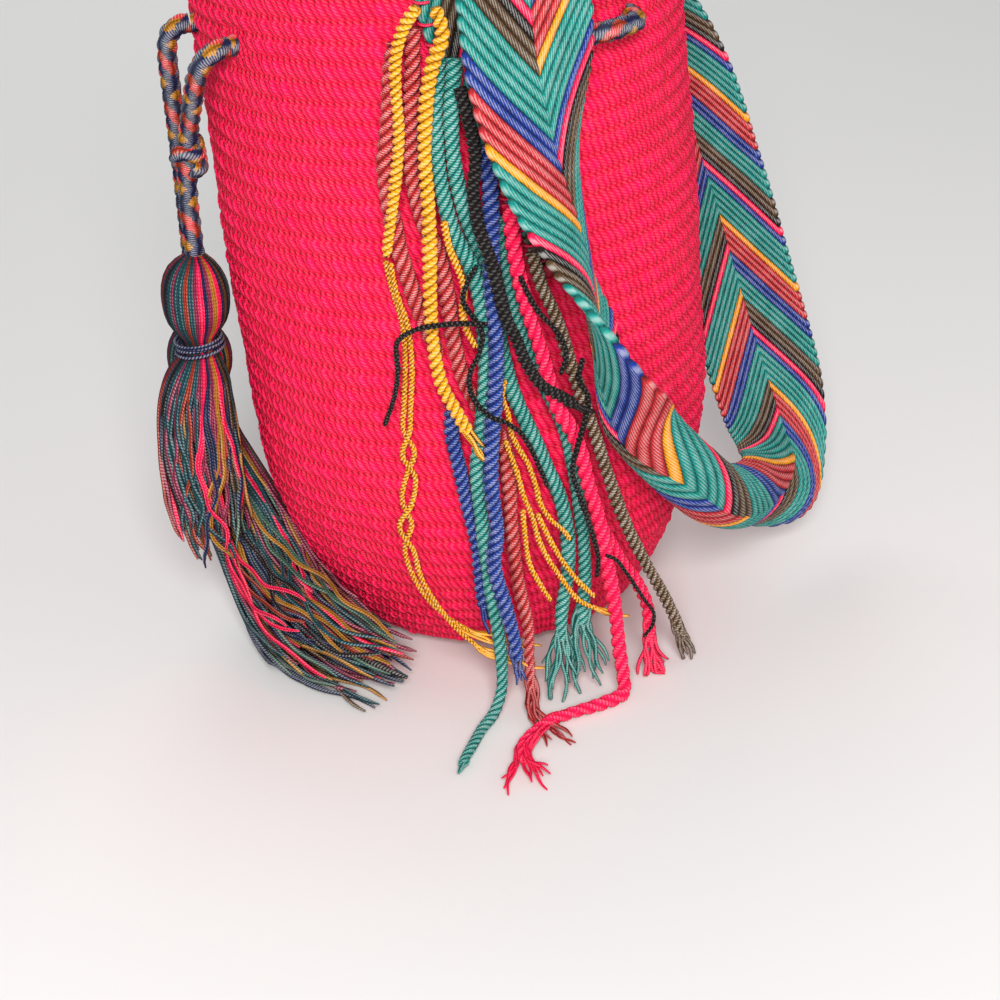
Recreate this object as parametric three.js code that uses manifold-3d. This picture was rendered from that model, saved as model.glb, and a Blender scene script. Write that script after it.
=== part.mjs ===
// A small crocheted mochila: a round drawstring bag with a braided strap whose unwoven ends hang as a fringe.
// Millimetres, +Z up. The origin is the middle of the flat base, on the surface that the bag stands on.
// The strap is sewn on at -Y (front) and +Y (back), and hangs down past the +X side.

import * as THREE from "three";
import { mergeVertices } from "three/addons/utils/BufferGeometryUtils.js";
import Module from "manifold-3d";

// Driving dimensions
const WALL_RADIUS = 75; // outside of the crocheted wall at its widest
const RIM_HEIGHT = 230;
const BASE_RADIUS = 35; // the flat round that the bag stands on
const WALL_THICKNESS = 4;
const EYELET_HEIGHT = 203; // the row of eyelets that the drawstring is threaded through
const GAP = 0.3; // air between pieces that touch
const CORD_LAYER = 4.3; // pitch of the layers in which the fringe cords cross each other
const STRAP_WIDTH = 36;
const STRAP_THICKNESS = 3.4;
const DRAWSTRING_THICKNESS = 6;
const DRAWSTRING_HOLE = 7.4; // hole left in the wall where the drawstring goes through
const WALL_SIDES = 48;
const CORD_STEP = 2.8; // length between a cord's rings, in diameters
const THIN_STEP = 4.6; // the same for cords under THIN
const THIN = 2.5;
const MOUTH_STEP = 1; // the same for the drawstring, which turns sharply at its eyelets

const COLOURS = {
  pink: 0xf3265a,
  teal: 0x2f9c94,
  blue: 0x2d4f9e,
  coral: 0xc94b4b,
  yellow: 0xe8ac1c,
  black: 0x1c1614,
  olive: 0x86683f,
  mixed: 0x5a4a4e,
};

const bag = new THREE.Group();

function yarn(colour, roughness = 0.85) {
  return new THREE.MeshStandardMaterial({ color: COLOURS[colour], roughness, metalness: 0 });
}

function addPiece(name, geometry, material) {
  const mesh = new THREE.Mesh(geometry, material);
  mesh.name = name;
  bag.add(mesh);
}

// A place on or outside the wall: across is measured round it from the front, up from the surface,
// and lift out from the wall's widest radius.
function onWall(across, up, lift, facing = 0) {
  const angle = across / WALL_RADIUS + facing;
  const radius = WALL_RADIUS + lift;
  return new THREE.Vector3(radius * Math.sin(angle), -radius * Math.cos(angle), up);
}

// Solids from rings

// Six times the volume inside a closed mesh, negative when its faces point inwards.
function signedVolume(points, triangles) {
  let volume = 0;
  const normal = new THREE.Vector3();
  for (const [a, b, c] of triangles) {
    volume += normal.crossVectors(points[b], points[c]).dot(points[a]);
  }
  return volume;
}

// Skins a row of rings, all with the same even number of points, and closes both ends.
function loft(rings) {
  const sides = rings[0].length;
  const points = rings.flat();
  const triangles = [];
  const quad = (a, b, c, d) => triangles.push([a, b, c], [a, c, d]);
  for (let ring = 0; ring < rings.length - 1; ring += 1) {
    for (let side = 0; side < sides; side += 1) {
      const next = (side + 1) % sides;
      const here = ring * sides;
      quad(here + side, here + next, here + sides + next, here + sides + side);
    }
  }
  const last = (rings.length - 1) * sides;
  for (let side = 0; side < sides / 2 - 1; side += 1) {
    const across = sides - 1 - side;
    quad(side, across, across - 1, side + 1);
    quad(last + side, last + side + 1, last + across - 1, last + across);
  }
  if (signedVolume(points, triangles) < 0) {
    triangles.forEach((triangle) => triangle.reverse());
  }
  const geometry = new THREE.BufferGeometry().setFromPoints(points);
  geometry.setIndex(triangles.flat());
  geometry.computeVertexNormals();
  return geometry;
}

function points3(list) {
  return list.map(([x, y, z]) => new THREE.Vector3(x, y, z));
}

function smoothCurve(points) {
  return new THREE.CatmullRomCurve3(points, false, "centripetal");
}

// A round section of the given thickness, drawn along a curve in steps about `step` diameters long.
function cordGeometry(curve, thickness, step, sides = 8) {
  const section = new THREE.Shape();
  for (let side = 0; side < sides; side += 1) {
    const angle = (side * 2 * Math.PI) / sides;
    const x = (thickness / 2) * Math.cos(angle);
    const y = (thickness / 2) * Math.sin(angle);
    if (side === 0) section.moveTo(x, y);
    else section.lineTo(x, y);
  }
  section.closePath();
  const steps = Math.max(6, Math.round(curve.getLength() / (thickness * step)));
  return new THREE.ExtrudeGeometry(section, { steps, extrudePath: curve, bevelEnabled: false });
}

// A soft body of round rings about a line of stations [x, y, z, radius].
function podGeometry(stations, sides = 14) {
  const rings = stations.map(([x, y, z, radius], index) => {
    const before = stations[Math.max(0, index - 1)];
    const after = stations[Math.min(stations.length - 1, index + 1)];
    const along = new THREE.Vector3(...after).sub(new THREE.Vector3(...before)).normalize();
    const sideways = new THREE.Vector3(0, 1, 0).cross(along).normalize();
    const outwards = new THREE.Vector3().crossVectors(along, sideways);
    return Array.from({ length: sides }, (_, side) => {
      const angle = (side * 2 * Math.PI) / sides;
      return new THREE.Vector3(x, y, z)
        .addScaledVector(sideways, radius * Math.cos(angle))
        .addScaledVector(outwards, radius * Math.sin(angle));
    });
  });
  return loft(rings);
}

// A cord whose thickness changes along it, with stations [x, y, z, radius] joined by a smooth line.
function knottedGeometry(stations, rings, sides) {
  const line = smoothCurve(points3(stations));
  const radii = smoothCurve(stations.map(([, , , radius]) => new THREE.Vector3(radius, 0, 0)));
  const smooth = Array.from({ length: rings + 1 }, (_, ring) => {
    return [...line.getPoint(ring / rings).toArray(), radii.getPoint(ring / rings).x];
  });
  return podGeometry(smooth, sides);
}

// Boolean cuts
const manifold = await Module();
manifold.setup();

function toSolid(geometry) {
  const bare = geometry.clone();
  bare.deleteAttribute("normal");
  bare.deleteAttribute("uv");
  const merged = mergeVertices(bare, 1e-3);
  const vertProperties = new Float32Array(merged.attributes.position.array);
  const triVerts = new Uint32Array(merged.index.array);
  return new manifold.Manifold(new manifold.Mesh({ numProp: 3, vertProperties, triVerts }));
}

function fromSolid(solid) {
  const { vertProperties, triVerts } = solid.getMesh();
  const geometry = new THREE.BufferGeometry();
  geometry.setAttribute("position", new THREE.BufferAttribute(new Float32Array(vertProperties), 3));
  geometry.setIndex(new THREE.BufferAttribute(new Uint32Array(triVerts), 1));
  geometry.computeVertexNormals();
  return geometry;
}

// The bag: a round base and a sack-like wall, crocheted as one piece

// Outside of the wall from the base to the rim, as [radius, height]
const WALL_OUTLINE = [
  [BASE_RADIUS, 0],
  [46, 3.5],
  [54, 13],
  [61, 25],
  [67, 39],
  [72, 55],
  [74.5, 72],
  [WALL_RADIUS, 95],
  [WALL_RADIUS, 130],
  [WALL_RADIUS, 170],
  [WALL_RADIUS, EYELET_HEIGHT - 5],
  [WALL_RADIUS, EYELET_HEIGHT + 5],
  [WALL_RADIUS - 0.5, RIM_HEIGHT - 1.5],
  [WALL_RADIUS - WALL_THICKNESS / 2, RIM_HEIGHT],
];

function bagWall() {
  const outside = WALL_OUTLINE.map(([radius, height]) => new THREE.Vector2(radius, height));
  const inside = outside.slice(1, -1).reverse().map(({ x, y }) => {
    const steepness = Math.min(1, y / 60);
    const rise = WALL_THICKNESS * (1 - steepness);
    return new THREE.Vector2(x - WALL_THICKNESS * (0.6 + 0.4 * steepness), y + rise);
  });
  const profile = [new THREE.Vector2(0, 0), ...outside, ...inside, new THREE.Vector2(0, WALL_THICKNESS)];
  return new THREE.LatheGeometry(profile, WALL_SIDES).rotateX(Math.PI / 2);
}

// The drawstring: one braid threaded round the mouth through ten eyelets, with both ends outside at -X

// Angles round the mouth, in degrees from the front, between which the braid runs outside the wall
const OUTSIDE_RUNS = [
  [12, 30],
  [78, 98],
  [138, 156],
  [205, 225],
];
const FIRST_END = -71; // the visible end comes out here
const SECOND_END = 262; // and the other end here
const INSIDE_LIFT = -WALL_THICKNESS - DRAWSTRING_THICKNESS / 2 - 1;
const OUTSIDE_LIFT = DRAWSTRING_THICKNESS / 2 + 0.8;
const END_LIFT = -0.8; // the braid and its free ends meet inside the eyelet, face to face
const HOLE_LIFT = 3; // the eyelet goes right through the wall
const CROSSING = 3.6; // degrees that the braid takes to pass through the wall, each side of an eyelet
const RUN_SPAN = 14; // degrees between the points of a long run

const degrees = (angle) => (angle * Math.PI * WALL_RADIUS) / 180;

// Each eyelet as [angle, lift before it, lift after it]; the two ends stop inside their eyelets.
function eyelets(endLift) {
  const between = OUTSIDE_RUNS.flatMap(([start, end]) => [
    [start, INSIDE_LIFT, OUTSIDE_LIFT],
    [end, OUTSIDE_LIFT, INSIDE_LIFT],
  ]);
  return [[FIRST_END, endLift, INSIDE_LIFT], ...between, [SECOND_END, INSIDE_LIFT, endLift]];
}

// The braid's route round the mouth, with its two ends turned outwards as far as endLift.
function mouthRoute(endLift) {
  const turns = eyelets(endLift);
  const last = turns.length - 1;
  const points = [[FIRST_END, endLift], [FIRST_END, INSIDE_LIFT / 2], [FIRST_END + CROSSING, INSIDE_LIFT]];
  for (let index = 1; index <= last; index += 1) {
    const [angle, before, after] = turns[index];
    const from = turns[index - 1][0] + CROSSING;
    const to = angle - CROSSING;
    const spans = Math.max(1, Math.round((to - from) / RUN_SPAN));
    for (let span = 1; span <= spans; span += 1) {
      points.push([from + ((to - from) * span) / spans, before]);
    }
    if (index < last) {
      points.push([angle, (before + after) / 2], [angle + CROSSING, after]);
    }
  }
  points.push([SECOND_END, INSIDE_LIFT / 2], [SECOND_END, endLift]);
  return smoothCurve(points.map(([angle, lift]) => onWall(degrees(angle), EYELET_HEIGHT, lift)));
}

// The free ends of the drawstring: out of the eyelet and down the wall to a tassel. The first end has a loose
// knot in it, so its stations are [x, y, z, radius].
const FIRST_END_ROUTE = [
  [-70.5, -24.3, 203, 3], [-74, -25.4, 202.7, 3], [-77.7, -24.8, 200.2, 3], [-79.8, -20.8, 194.5, 3],
  [-80.6, -13.5, 186, 3], [-81.5, -6, 176.8, 3], [-81.9, -4, 173, 4.8], [-82.3, -2.6, 168.5, 5.7],
  [-82.9, -0.8, 163.4, 5], [-83.3, 0.5, 159.4, 3.2], [-84, 1.5, 150, 3], [-84.3, 1.2, 143, 3], [-84.6, 1, 136, 3],
];
const SECOND_END_ROUTE = [
  [-73.9, 10.4, 203], [-77.3, 10.9, 202.7], [-80.2, 12, 200], [-81.2, 14.5, 194], [-81, 19, 180],
  [-80.8, 24, 158], [-81.4, 28, 130], [-82.5, 29, 103.6],
];
const END_RINGS = 30;
const END_SIDES = 10;

// Tassels, as stations [x, y, z, radius]: a ball head, a tied neck and a skirt
const FIRST_TASSEL = [
  [-84.7, 1, 135.4, 3.5], [-85, 1, 133, 7], [-86, 1, 128, 9.9], [-86.4, 1.2, 121, 10.6], [-87, 1.6, 113.6, 9],
  [-87.2, 1.8, 109.2, 5.4], [-87.4, 2, 103.6, 5.4], [-88.6, 2.4, 98, 10], [-91, 3, 88, 12.2], [-92.4, 3.4, 72, 12.2],
  [-92.8, 3.6, 56, 9.6], [-92, 3, 43, 6], [-90.6, 2, 32, 3],
];
const SECOND_TASSEL = [
  [-82.6, 29, 103, 3.5], [-83, 29, 100.6, 7], [-83.6, 29, 96, 9.9], [-84, 29, 90, 10.6], [-84.4, 29, 83.6, 9],
  [-84.6, 29, 79.4, 5.4], [-84.8, 29, 73.8, 5.4], [-85, 29.4, 68, 9], [-84.6, 29.6, 58, 11], [-81.4, 28, 45, 12],
  [-77, 21, 31, 12.6], [-74, 9, 19, 12.2], [-72, -7, 12.2, 11], [-68.4, -23, 9.8, 9], [-62.4, -37, 7.8, 7.2],
  [-54.6, -49, 5.8, 5.2], [-48.6, -56, 4.2, 3],
];
// The middle of the thread wound round each tassel's neck
const FIRST_TIE = [-87.3, 1.9, 106.4];
const SECOND_TIE = [-84.7, 29, 76.6];

// The thread wound round a tassel's neck: a closed ring with a flat inside
function tieGeometry([x, y, z]) {
  const inner = 6.2;
  const outer = 8.6;
  const half = 1.9;
  const profile = [
    [inner, -half], [outer - 0.8, -half], [outer, -half / 2], [outer, half / 2], [outer - 0.8, half],
    [inner, half], [inner, -half],
  ].map(([radius, height]) => new THREE.Vector2(radius, height));
  return new THREE.LatheGeometry(profile, 18).rotateX(Math.PI / 2).translate(x, y, z);
}

// The strap: one finger-woven band, sewn on at both ends, which twists and rolls up as it falls in front

// Stations along the band: its middle [x, y, z], the way it faces across, its width and its curl in degrees
const STRAP = [
  { at: [2, -77.6, 137], across: [1, 0.03, 0], width: 5, curl: -4 },
  { at: [0, -77.6, 160], across: [1, 0, 0], width: 16, curl: -12 },
  { at: [-5, -77.5, 190], across: [1, -0.06, 0], width: 27, curl: -20 },
  { at: [-9, -77.4, 218], across: [1, -0.1, 0], width: STRAP_WIDTH, curl: -26 },
  { at: [-9, -78, 236], across: [1, -0.1, 0], width: STRAP_WIDTH, curl: -20 },
  { at: [-8, -81, 249], across: [1, -0.05, 0], width: STRAP_WIDTH, curl: -8 },
  { at: [-6, -89, 257], across: [1, 0, 0], width: STRAP_WIDTH, curl: 0 },
  { at: [-5, -98, 250], across: [1, 0, 0], width: STRAP_WIDTH, curl: 8 },
  { at: [-4.5, -98, 232], across: [1, 0, 0], width: STRAP_WIDTH, curl: 20 },
  { at: [-3, -95, 205], across: [1, 0.08, 0], width: STRAP_WIDTH, curl: 40 },
  { at: [0.5, -94, 176], across: [0.8, 0.58, 0.09], width: STRAP_WIDTH, curl: 58 },
  { at: [5.8, -94.5, 150], across: [0.48, 0.88, 0.02], width: STRAP_WIDTH, curl: 50 },
  { at: [7.8, -97.9, 120.6], across: [0.19, 0.98, 0.04], width: STRAP_WIDTH, curl: -95 },
  { at: [15, -94.4, 89.6], across: [-0.54, 0.83, -0.14], width: STRAP_WIDTH, curl: -213 },
  { at: [37.5, -88.6, 66.2], across: [-0.81, 0.21, -0.55], width: STRAP_WIDTH, curl: -236 },
  { at: [58, -70.5, 44.3], across: [-0.7, 0.17, -0.7], width: STRAP_WIDTH, curl: -237 },
  { at: [79.2, -48.9, 32.3], across: [-0.36, 0.09, -0.93], width: STRAP_WIDTH, curl: -204 },
  { at: [97, -29, 32.5], across: [0.56, -0.34, -0.74], width: STRAP_WIDTH, curl: -110 },
  { at: [102.5, -10, 38], across: [0.85, -0.25, -0.4], width: STRAP_WIDTH, curl: -40 },
  { at: [103.5, 6, 55.5], across: [0.9, -0.35, -0.1], width: STRAP_WIDTH, curl: 0 },
  { at: [101.5, 20, 84], across: [0.85, -0.5, 0], width: STRAP_WIDTH, curl: 0 },
  { at: [98.5, 34, 116], across: [0.85, -0.5, 0], width: STRAP_WIDTH, curl: 0 },
  { at: [92, 52, 155], across: [0.88, -0.45, 0], width: STRAP_WIDTH, curl: 0 },
  { at: [68, 76, 198], across: [0.95, -0.3, 0], width: STRAP_WIDTH, curl: 0 },
  { at: [38, 92, 230], across: [1, -0.1, 0], width: STRAP_WIDTH, curl: 0 },
  { at: [14, 98, 250], across: [1, 0, 0], width: STRAP_WIDTH, curl: 0 },
  { at: [4, 90, 258], across: [1, 0.05, 0], width: STRAP_WIDTH, curl: 0 },
  { at: [0, 82, 250], across: [1, 0.03, 0], width: STRAP_WIDTH, curl: -8 },
  { at: [0, 78.4, 236], across: [1, 0, 0], width: STRAP_WIDTH, curl: -20 },
  { at: [0, 77.4, 218], across: [1, 0, 0], width: STRAP_WIDTH, curl: -26 },
  { at: [0, 77.5, 190], across: [1, 0, 0], width: 27, curl: -20 },
  { at: [0, 77.6, 160], across: [1, 0, 0], width: 16, curl: -12 },
  { at: [0, 77.6, 137], across: [1, 0, 0], width: 5, curl: -4 },
];
const STRAP_STEPS = 76;
const STRAP_STRIPS = 5;

// One ring of the band: the near face from one edge to the other, then the far face back again.
function strapRing(middle, along, across, width, curl) {
  const face = new THREE.Vector3().crossVectors(along, across).normalize();
  const bend = THREE.MathUtils.degToRad(curl);
  const near = [];
  const far = [];
  for (let strip = 0; strip <= STRAP_STRIPS; strip += 1) {
    const share = strip / STRAP_STRIPS - 0.5;
    const angle = bend * share;
    const sideways = Math.abs(bend) < 1e-6 ? width * share : (width / bend) * Math.sin(angle);
    const depth = Math.abs(bend) < 1e-6 ? 0 : (width / bend) * (Math.cos(angle) - 1);
    const outwards = face.clone().multiplyScalar(Math.cos(angle)).addScaledVector(across, Math.sin(angle));
    const point = middle.clone().addScaledVector(across, sideways).addScaledVector(face, depth);
    near.push(point.clone().addScaledVector(outwards, STRAP_THICKNESS / 2));
    far.push(point.clone().addScaledVector(outwards, -STRAP_THICKNESS / 2));
  }
  return [...near, ...far.reverse()];
}

function strapGeometry() {
  const line = smoothCurve(points3(STRAP.map(({ at }) => at)));
  const acrossLine = smoothCurve(points3(STRAP.map(({ across }) => across)));
  const extras = smoothCurve(STRAP.map(({ width, curl }) => new THREE.Vector3(width, curl, 0)));
  const rings = [];
  for (let step = 0; step <= STRAP_STEPS; step += 1) {
    const share = step / STRAP_STEPS;
    const along = line.getTangent(share);
    const across = acrossLine.getPoint(share);
    across.addScaledVector(along, -across.dot(along)).normalize();
    const { x: width, y: curl } = extras.getPoint(share);
    rings.push(strapRing(line.getPoint(share), along, across, width, curl));
  }
  return loft(rings);
}

// The fringe: the strap's unwoven cords, which leave the slanting sewn end and hang over the wall

// A route is a list of [across, up, layer] on the wall: layer 0 lies on the wall, and each layer above it
// passes over the cords below. Where a cord reaches the surface it goes on as [x, y, z] in `floor`.
const FRONT_FRINGE = [
  { name: "yellow_cord_1", colour: "yellow", thickness: 2.8,
    route: [[-26.5, 219, 1.6], [-30, 214, 1.3], [-33, 206, 1], [-34, 196, 1], [-34.5, 184, 1], [-38, 165, 1],
      [-41.5, 149, 1]] },
  { name: "yellow_strand_1", colour: "yellow", thickness: 1.5,
    route: [[-43.4, 146, 0], [-42.4, 137, 0], [-40.6, 127, 0], [-41, 116, 0], [-43, 101, 0], [-44, 93, 0],
      [-41.5, 86, 0], [-44.5, 79, 0], [-47, 70, 0], [-45, 62, 0], [-48, 54, 0], [-47, 46, 0], [-43, 37, 0], [-37, 30, 0],
      [-31, 25, 0]] },
  { name: "yellow_strand_2", colour: "yellow", thickness: 1.5,
    route: [[-41.4, 146, 0.5], [-40.6, 137, 0.5], [-38.6, 127, 0.5], [-38.6, 116, 0.5], [-40.5, 101, 0.5],
      [-41.5, 94, 0.5], [-44.5, 86, 0.5], [-41.5, 79, 0.5], [-43.5, 70, 0.5], [-48, 62, 0.5], [-44.5, 54, 0.5], [-43.5, 46, 0.5],
      [-40, 37, 0.5], [-34, 27, 0.5], [-27, 19, 0.5]] },
  { name: "yellow_cord_2", colour: "yellow", thickness: 3.3,
    route: [[-22, 219, 2], [-21, 212, 2], [-24, 204, 2], [-26, 196, 2], [-28, 180, 2], [-28.5, 165, 2],
      [-29.5, 150, 2], [-30.5, 138, 2], [-31, 125, 2], [-30, 112, 2], [-27, 103, 2], [-24.5, 96, 2]] },
  { name: "yellow_cord_3", colour: "yellow", thickness: 1.8,
    route: [[-25.2, 160, 2], [-24.5, 152, 2], [-23, 146, 2], [-22, 140, 2], [-23, 134, 2], [-22.5, 128, 2],
      [-20.5, 122, 2]] },
  { name: "yellow_strand_3", colour: "yellow", thickness: 1.5,
    route: [[-14, 110, 1.5], [-15, 105, 1.5], [-14, 100, 1.5], [-13.5, 93, 1.5], [-12, 88, 1.5], [-10, 83, 1.5],
      [-8.5, 76, 1.5], [-7.5, 69, 1.5], [-5, 63, 1.5], [-2, 59, 1.5], [0, 55, 1.5]] },
  { name: "yellow_strand_4", colour: "yellow", thickness: 1.5,
    route: [[-15.4, 91, 1.5], [-13, 80, 1.5], [-12, 73, 1.5], [-10, 65, 1.5], [-9, 58, 1.5], [-7, 51, 1.5],
      [-4, 44, 1.5], [1, 34, 1.5], [8, 28, 1.5]] },
  { name: "yellow_strand_5", colour: "yellow", thickness: 1.5,
    route: [[-9, 67, 2], [-6, 57, 2], [-3, 49, 2], [1, 41, 2], [5, 35, 2]] },
  { name: "yellow_strand_6", colour: "yellow", thickness: 1.5,
    route: [[-12.5, 68, 1.5], [-12.5, 60, 1.5], [-12, 50, 1.5], [-9.5, 42, 1.5], [-7, 36, 1.5]] },
  { name: "coral_cord_1", colour: "coral", thickness: 3.9,
    route: [[-33.5, 208, 0], [-36, 198, 0], [-37.5, 188, 0], [-40, 174, 0], [-39.5, 156, 0], [-37, 140, 0],
      [-34.5, 129, 0], [-31, 117, 0]] },
  { name: "coral_cord_2", colour: "coral", thickness: 3.6,
    route: [[-28.5, 212, 0], [-29.5, 203, 0], [-31.5, 188, 0], [-33, 172, 0], [-31.5, 158, 0], [-28, 148, 0],
      [-27, 136, 0], [-26.5, 122, 0], [-24.5, 108, 0], [-20, 97, 0], [-15.5, 88, 0], [-15, 76, 0], [-15.5, 60, 0],
      [-15, 40, 0], [-13.5, 26, 0], [-14, 15, 0]],
    floor: [[-15, -77.5, 6.5], [-16.2, -80.5, 2.8], [-17.6, -87, 2.1]] },
  { name: "teal_cord_1", colour: "teal", thickness: 3.6,
    route: [[-22.5, 207, 1], [-25, 189, 1], [-25.3, 172, 1], [-23.4, 156, 1], [-20, 146, 1], [-18.4, 137, 1],
      [-18, 126, 1], [-18.8, 112, 1], [-21, 96, 1], [-23.4, 82, 1], [-23.6, 62, 1], [-23, 44, 1], [-22.3, 28, 1],
      [-22.3, 15, 1]],
    floor: [[-25.2, -79, 7], [-29, -82.5, 2.7], [-35, -88.5, 2], [-41, -96.5, 2], [-47, -104.5, 2]] },
  { name: "teal_cord_2", colour: "teal", thickness: 3.6,
    route: [[-18.6, 204, 1], [-21, 188, 1], [-21.2, 172, 1], [-19.2, 157, 0.6], [-16.2, 146, 0.1], [-14.3, 134, 0],
      [-13.6, 121, 0], [-12, 106, 0], [-9, 95, 0], [-6, 86, 0], [-3, 76, 0], [-0.5, 67, 0], [0.8, 56, 0],
      [0, 42, 0], [-3, 28, 0], [-4, 18, 0]] },
  { name: "teal_cord_3", colour: "teal", thickness: 3.4,
    route: [[-10.4, 157, 0], [-10.2, 150, 0], [-9.6, 140, 0], [-8.8, 130, 0], [-6.2, 116, 0], [-2.8, 105, 0],
      [0.5, 96, 0], [3.2, 86, 0], [4.6, 76, 0], [5.3, 64, 0], [5.8, 50, 0], [5, 36, 0], [3, 22, 0]] },
  { name: "blue_cord_1", colour: "blue", thickness: 3.8,
    route: [[-14, 179, 1], [-13, 169, 1.05], [-13.5, 160, 1.4], [-14.6, 150, 2], [-15.4, 138, 2], [-15.6, 122, 2],
      [-17, 108, 2], [-18.8, 95, 2], [-20.2, 80, 2], [-20, 64, 2], [-21.6, 53, 2], [-20, 40, 2], [-18.4, 28, 2],
      [-18, 19, 2]] },
  { name: "blue_cord_2", colour: "blue", thickness: 3.5,
    route: [[-28.8, 101, 0], [-29.8, 92, 0], [-28.6, 80, 0], [-27.6, 68, 0], [-26, 56, 0], [-26, 44, 0],
      [-25.8, 33, 0]] },
  { name: "black_cord_1", colour: "black", thickness: 4,
    route: [[-18.2, 197, 2], [-17, 188, 2], [-16.2, 178, 2], [-17.6, 168, 2.4], [-17, 158, 2.95], [-15.4, 150, 3],
      [-14.2, 141, 3], [-13, 132, 3], [-11, 125, 3], [-9.4, 118, 3], [-6, 110, 3], [-1.5, 105.4, 3],
      [2.2, 101.5, 3]] },
  { name: "black_cord_2", colour: "black", thickness: 1.9,
    route: [[-18.6, 148, 3.1], [-21.2, 143, 3], [-22.5, 138, 3], [-20.6, 133, 3], [-18.8, 128, 3], [-20, 122, 3],
      [-22.6, 116, 3], [-23, 111, 3], [-21.4, 106, 3], [-18.4, 102, 3], [-15, 99.5, 3], [-12, 96, 3],
      [-10, 91, 3], [-8.4, 85, 3], [-6.4, 77, 3]] },
  { name: "black_cord_3", colour: "black", thickness: 1.9,
    route: [[-17.4, 131.6, 3.7], [-23, 132.6, 3.7], [-32, 132, 3.6], [-36.6, 129.6, 3.3], [-39.4, 126, 2.9],
      [-40.6, 116, 2.3], [-43.6, 106, 1.5], [-48.4, 96, 0.7]] },
  { name: "black_cord_4", colour: "black", thickness: 1.9,
    route: [[-8.6, 143, 3], [-7, 137, 3], [-4.6, 131, 3], [-1.6, 126, 3], [0.4, 121, 3], [0.8, 116.4, 3],
      [-1, 111.6, 3]] },
  { name: "black_cord_5", colour: "black", thickness: 2,
    route: [[5, 115, 3], [3.6, 109, 3], [5.6, 103, 3], [4, 95, 3], [1.8, 88, 3], [0, 81, 3], [1, 74, 3], [3, 64, 3],
      [4.4, 56, 3], [5, 50, 3], [4.2, 44.5, 3]] },
  { name: "black_cord_6", colour: "black", thickness: 1.5,
    route: [[7.4, 50.5, 3], [10, 48, 3], [12.4, 43, 3], [15, 37, 3], [18, 30, 3], [20, 25.5, 3], [19.4, 21.5, 3],
      [16.4, 18.5, 3]] },
  { name: "pink_cord_1", colour: "pink", thickness: 3.6,
    route: [[-9, 163, 2], [-9, 150, 2], [-8.2, 140, 2], [-6.6, 129, 2], [-4.6, 119, 2], [-3, 108, 2], [-1.4, 100, 2],
      [1.8, 92, 2], [3.8, 84, 2], [5, 74, 2], [7, 63, 2], [8.5, 48, 2], [10, 30, 2], [10.4, 15, 2]],
    floor: [[11.8, -87, 6.5], [10.4, -90, 2.9], [3, -91.6, 2.1], [-8, -92.4, 2.1], [-19, -95.4, 2.1],
      [-27, -102, 2.1], [-30, -110.5, 2.1]] },
  { name: "pink_cord_2", colour: "pink", thickness: 3.2,
    route: [[8, 63, 1], [11, 53, 1], [16, 41, 1], [20, 33, 1], [23, 24, 1], [23.4, 16, 1], [22.8, 9, 1]] },
  { name: "olive_cord_1", colour: "olive", thickness: 3.5,
    route: [[-4.6, 148, 2], [-3, 138, 2], [-0.6, 130, 2], [1.4, 121, 2], [3, 112, 2], [4.8, 104, 2], [6.8, 95, 2],
      [8.8, 85, 2], [10.8, 75, 2], [13.2, 64, 2], [16.6, 52, 2], [21, 40, 2], [25.4, 29, 2], [29.4, 18, 2],
      [32, 9, 2]] },
];

// The back fringe hangs straight: its cords leave the pointed end in turn, as [across, up] to the lower end
const BACK_FRINGE = [
  { colour: "yellow", from: [-20.4, 207], to: [-23, 46] },
  { colour: "coral", from: [-16.4, 187], to: [-18, 30] },
  { colour: "teal", from: [-11.8, 167], to: [-13, 21] },
  { colour: "black", from: [-7, 146], to: [-7.4, 38] },
  { colour: "blue", from: [0, 134], to: [-1.6, 24] },
  { colour: "pink", from: [6.6, 145], to: [5, 17] },
  { colour: "olive", from: [11.6, 166], to: [11.4, 34] },
  { colour: "teal", from: [16.2, 186], to: [17.6, 26] },
];
const BACK_THICKNESS = 3.5;
const BACK_STEP = 4.5;

function fringeCurve({ route, floor = [], thickness }) {
  const hanging = route.map(([across, up, layer]) => {
    return onWall(across, up, GAP + thickness / 2 + layer * CORD_LAYER);
  });
  return smoothCurve([...hanging, ...points3(floor)]);
}

function backCurve({ from, to }, index) {
  const lift = GAP + BACK_THICKNESS / 2;
  const sway = index % 2 === 0 ? 0.5 : -0.5;
  const points = [0, 0.25, 0.5, 0.75, 1].map((share) => {
    const across = THREE.MathUtils.lerp(from[0], to[0], share) + sway * Math.sin(share * 2 * Math.PI);
    return onWall(across, THREE.MathUtils.lerp(from[1], to[1], share), lift, Math.PI);
  });
  return smoothCurve(points);
}

// Everything in its place

function addBody() {
  const threading = toSolid(cordGeometry(mouthRoute(HOLE_LIFT), DRAWSTRING_HOLE, MOUTH_STEP));
  addPiece("bag_body", fromSolid(toSolid(bagWall()).subtract(threading)), yarn("pink"));
}

function addDrawstring() {
  const braid = cordGeometry(mouthRoute(END_LIFT), DRAWSTRING_THICKNESS, MOUTH_STEP);
  addPiece("drawstring_round_mouth", braid, yarn("mixed"));
  addPiece("drawstring_end_1", knottedGeometry(FIRST_END_ROUTE, END_RINGS, END_SIDES), yarn("mixed"));
  const secondEnd = cordGeometry(smoothCurve(points3(SECOND_END_ROUTE)), DRAWSTRING_THICKNESS, MOUTH_STEP);
  addPiece("drawstring_end_2", secondEnd, yarn("mixed"));
}

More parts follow.
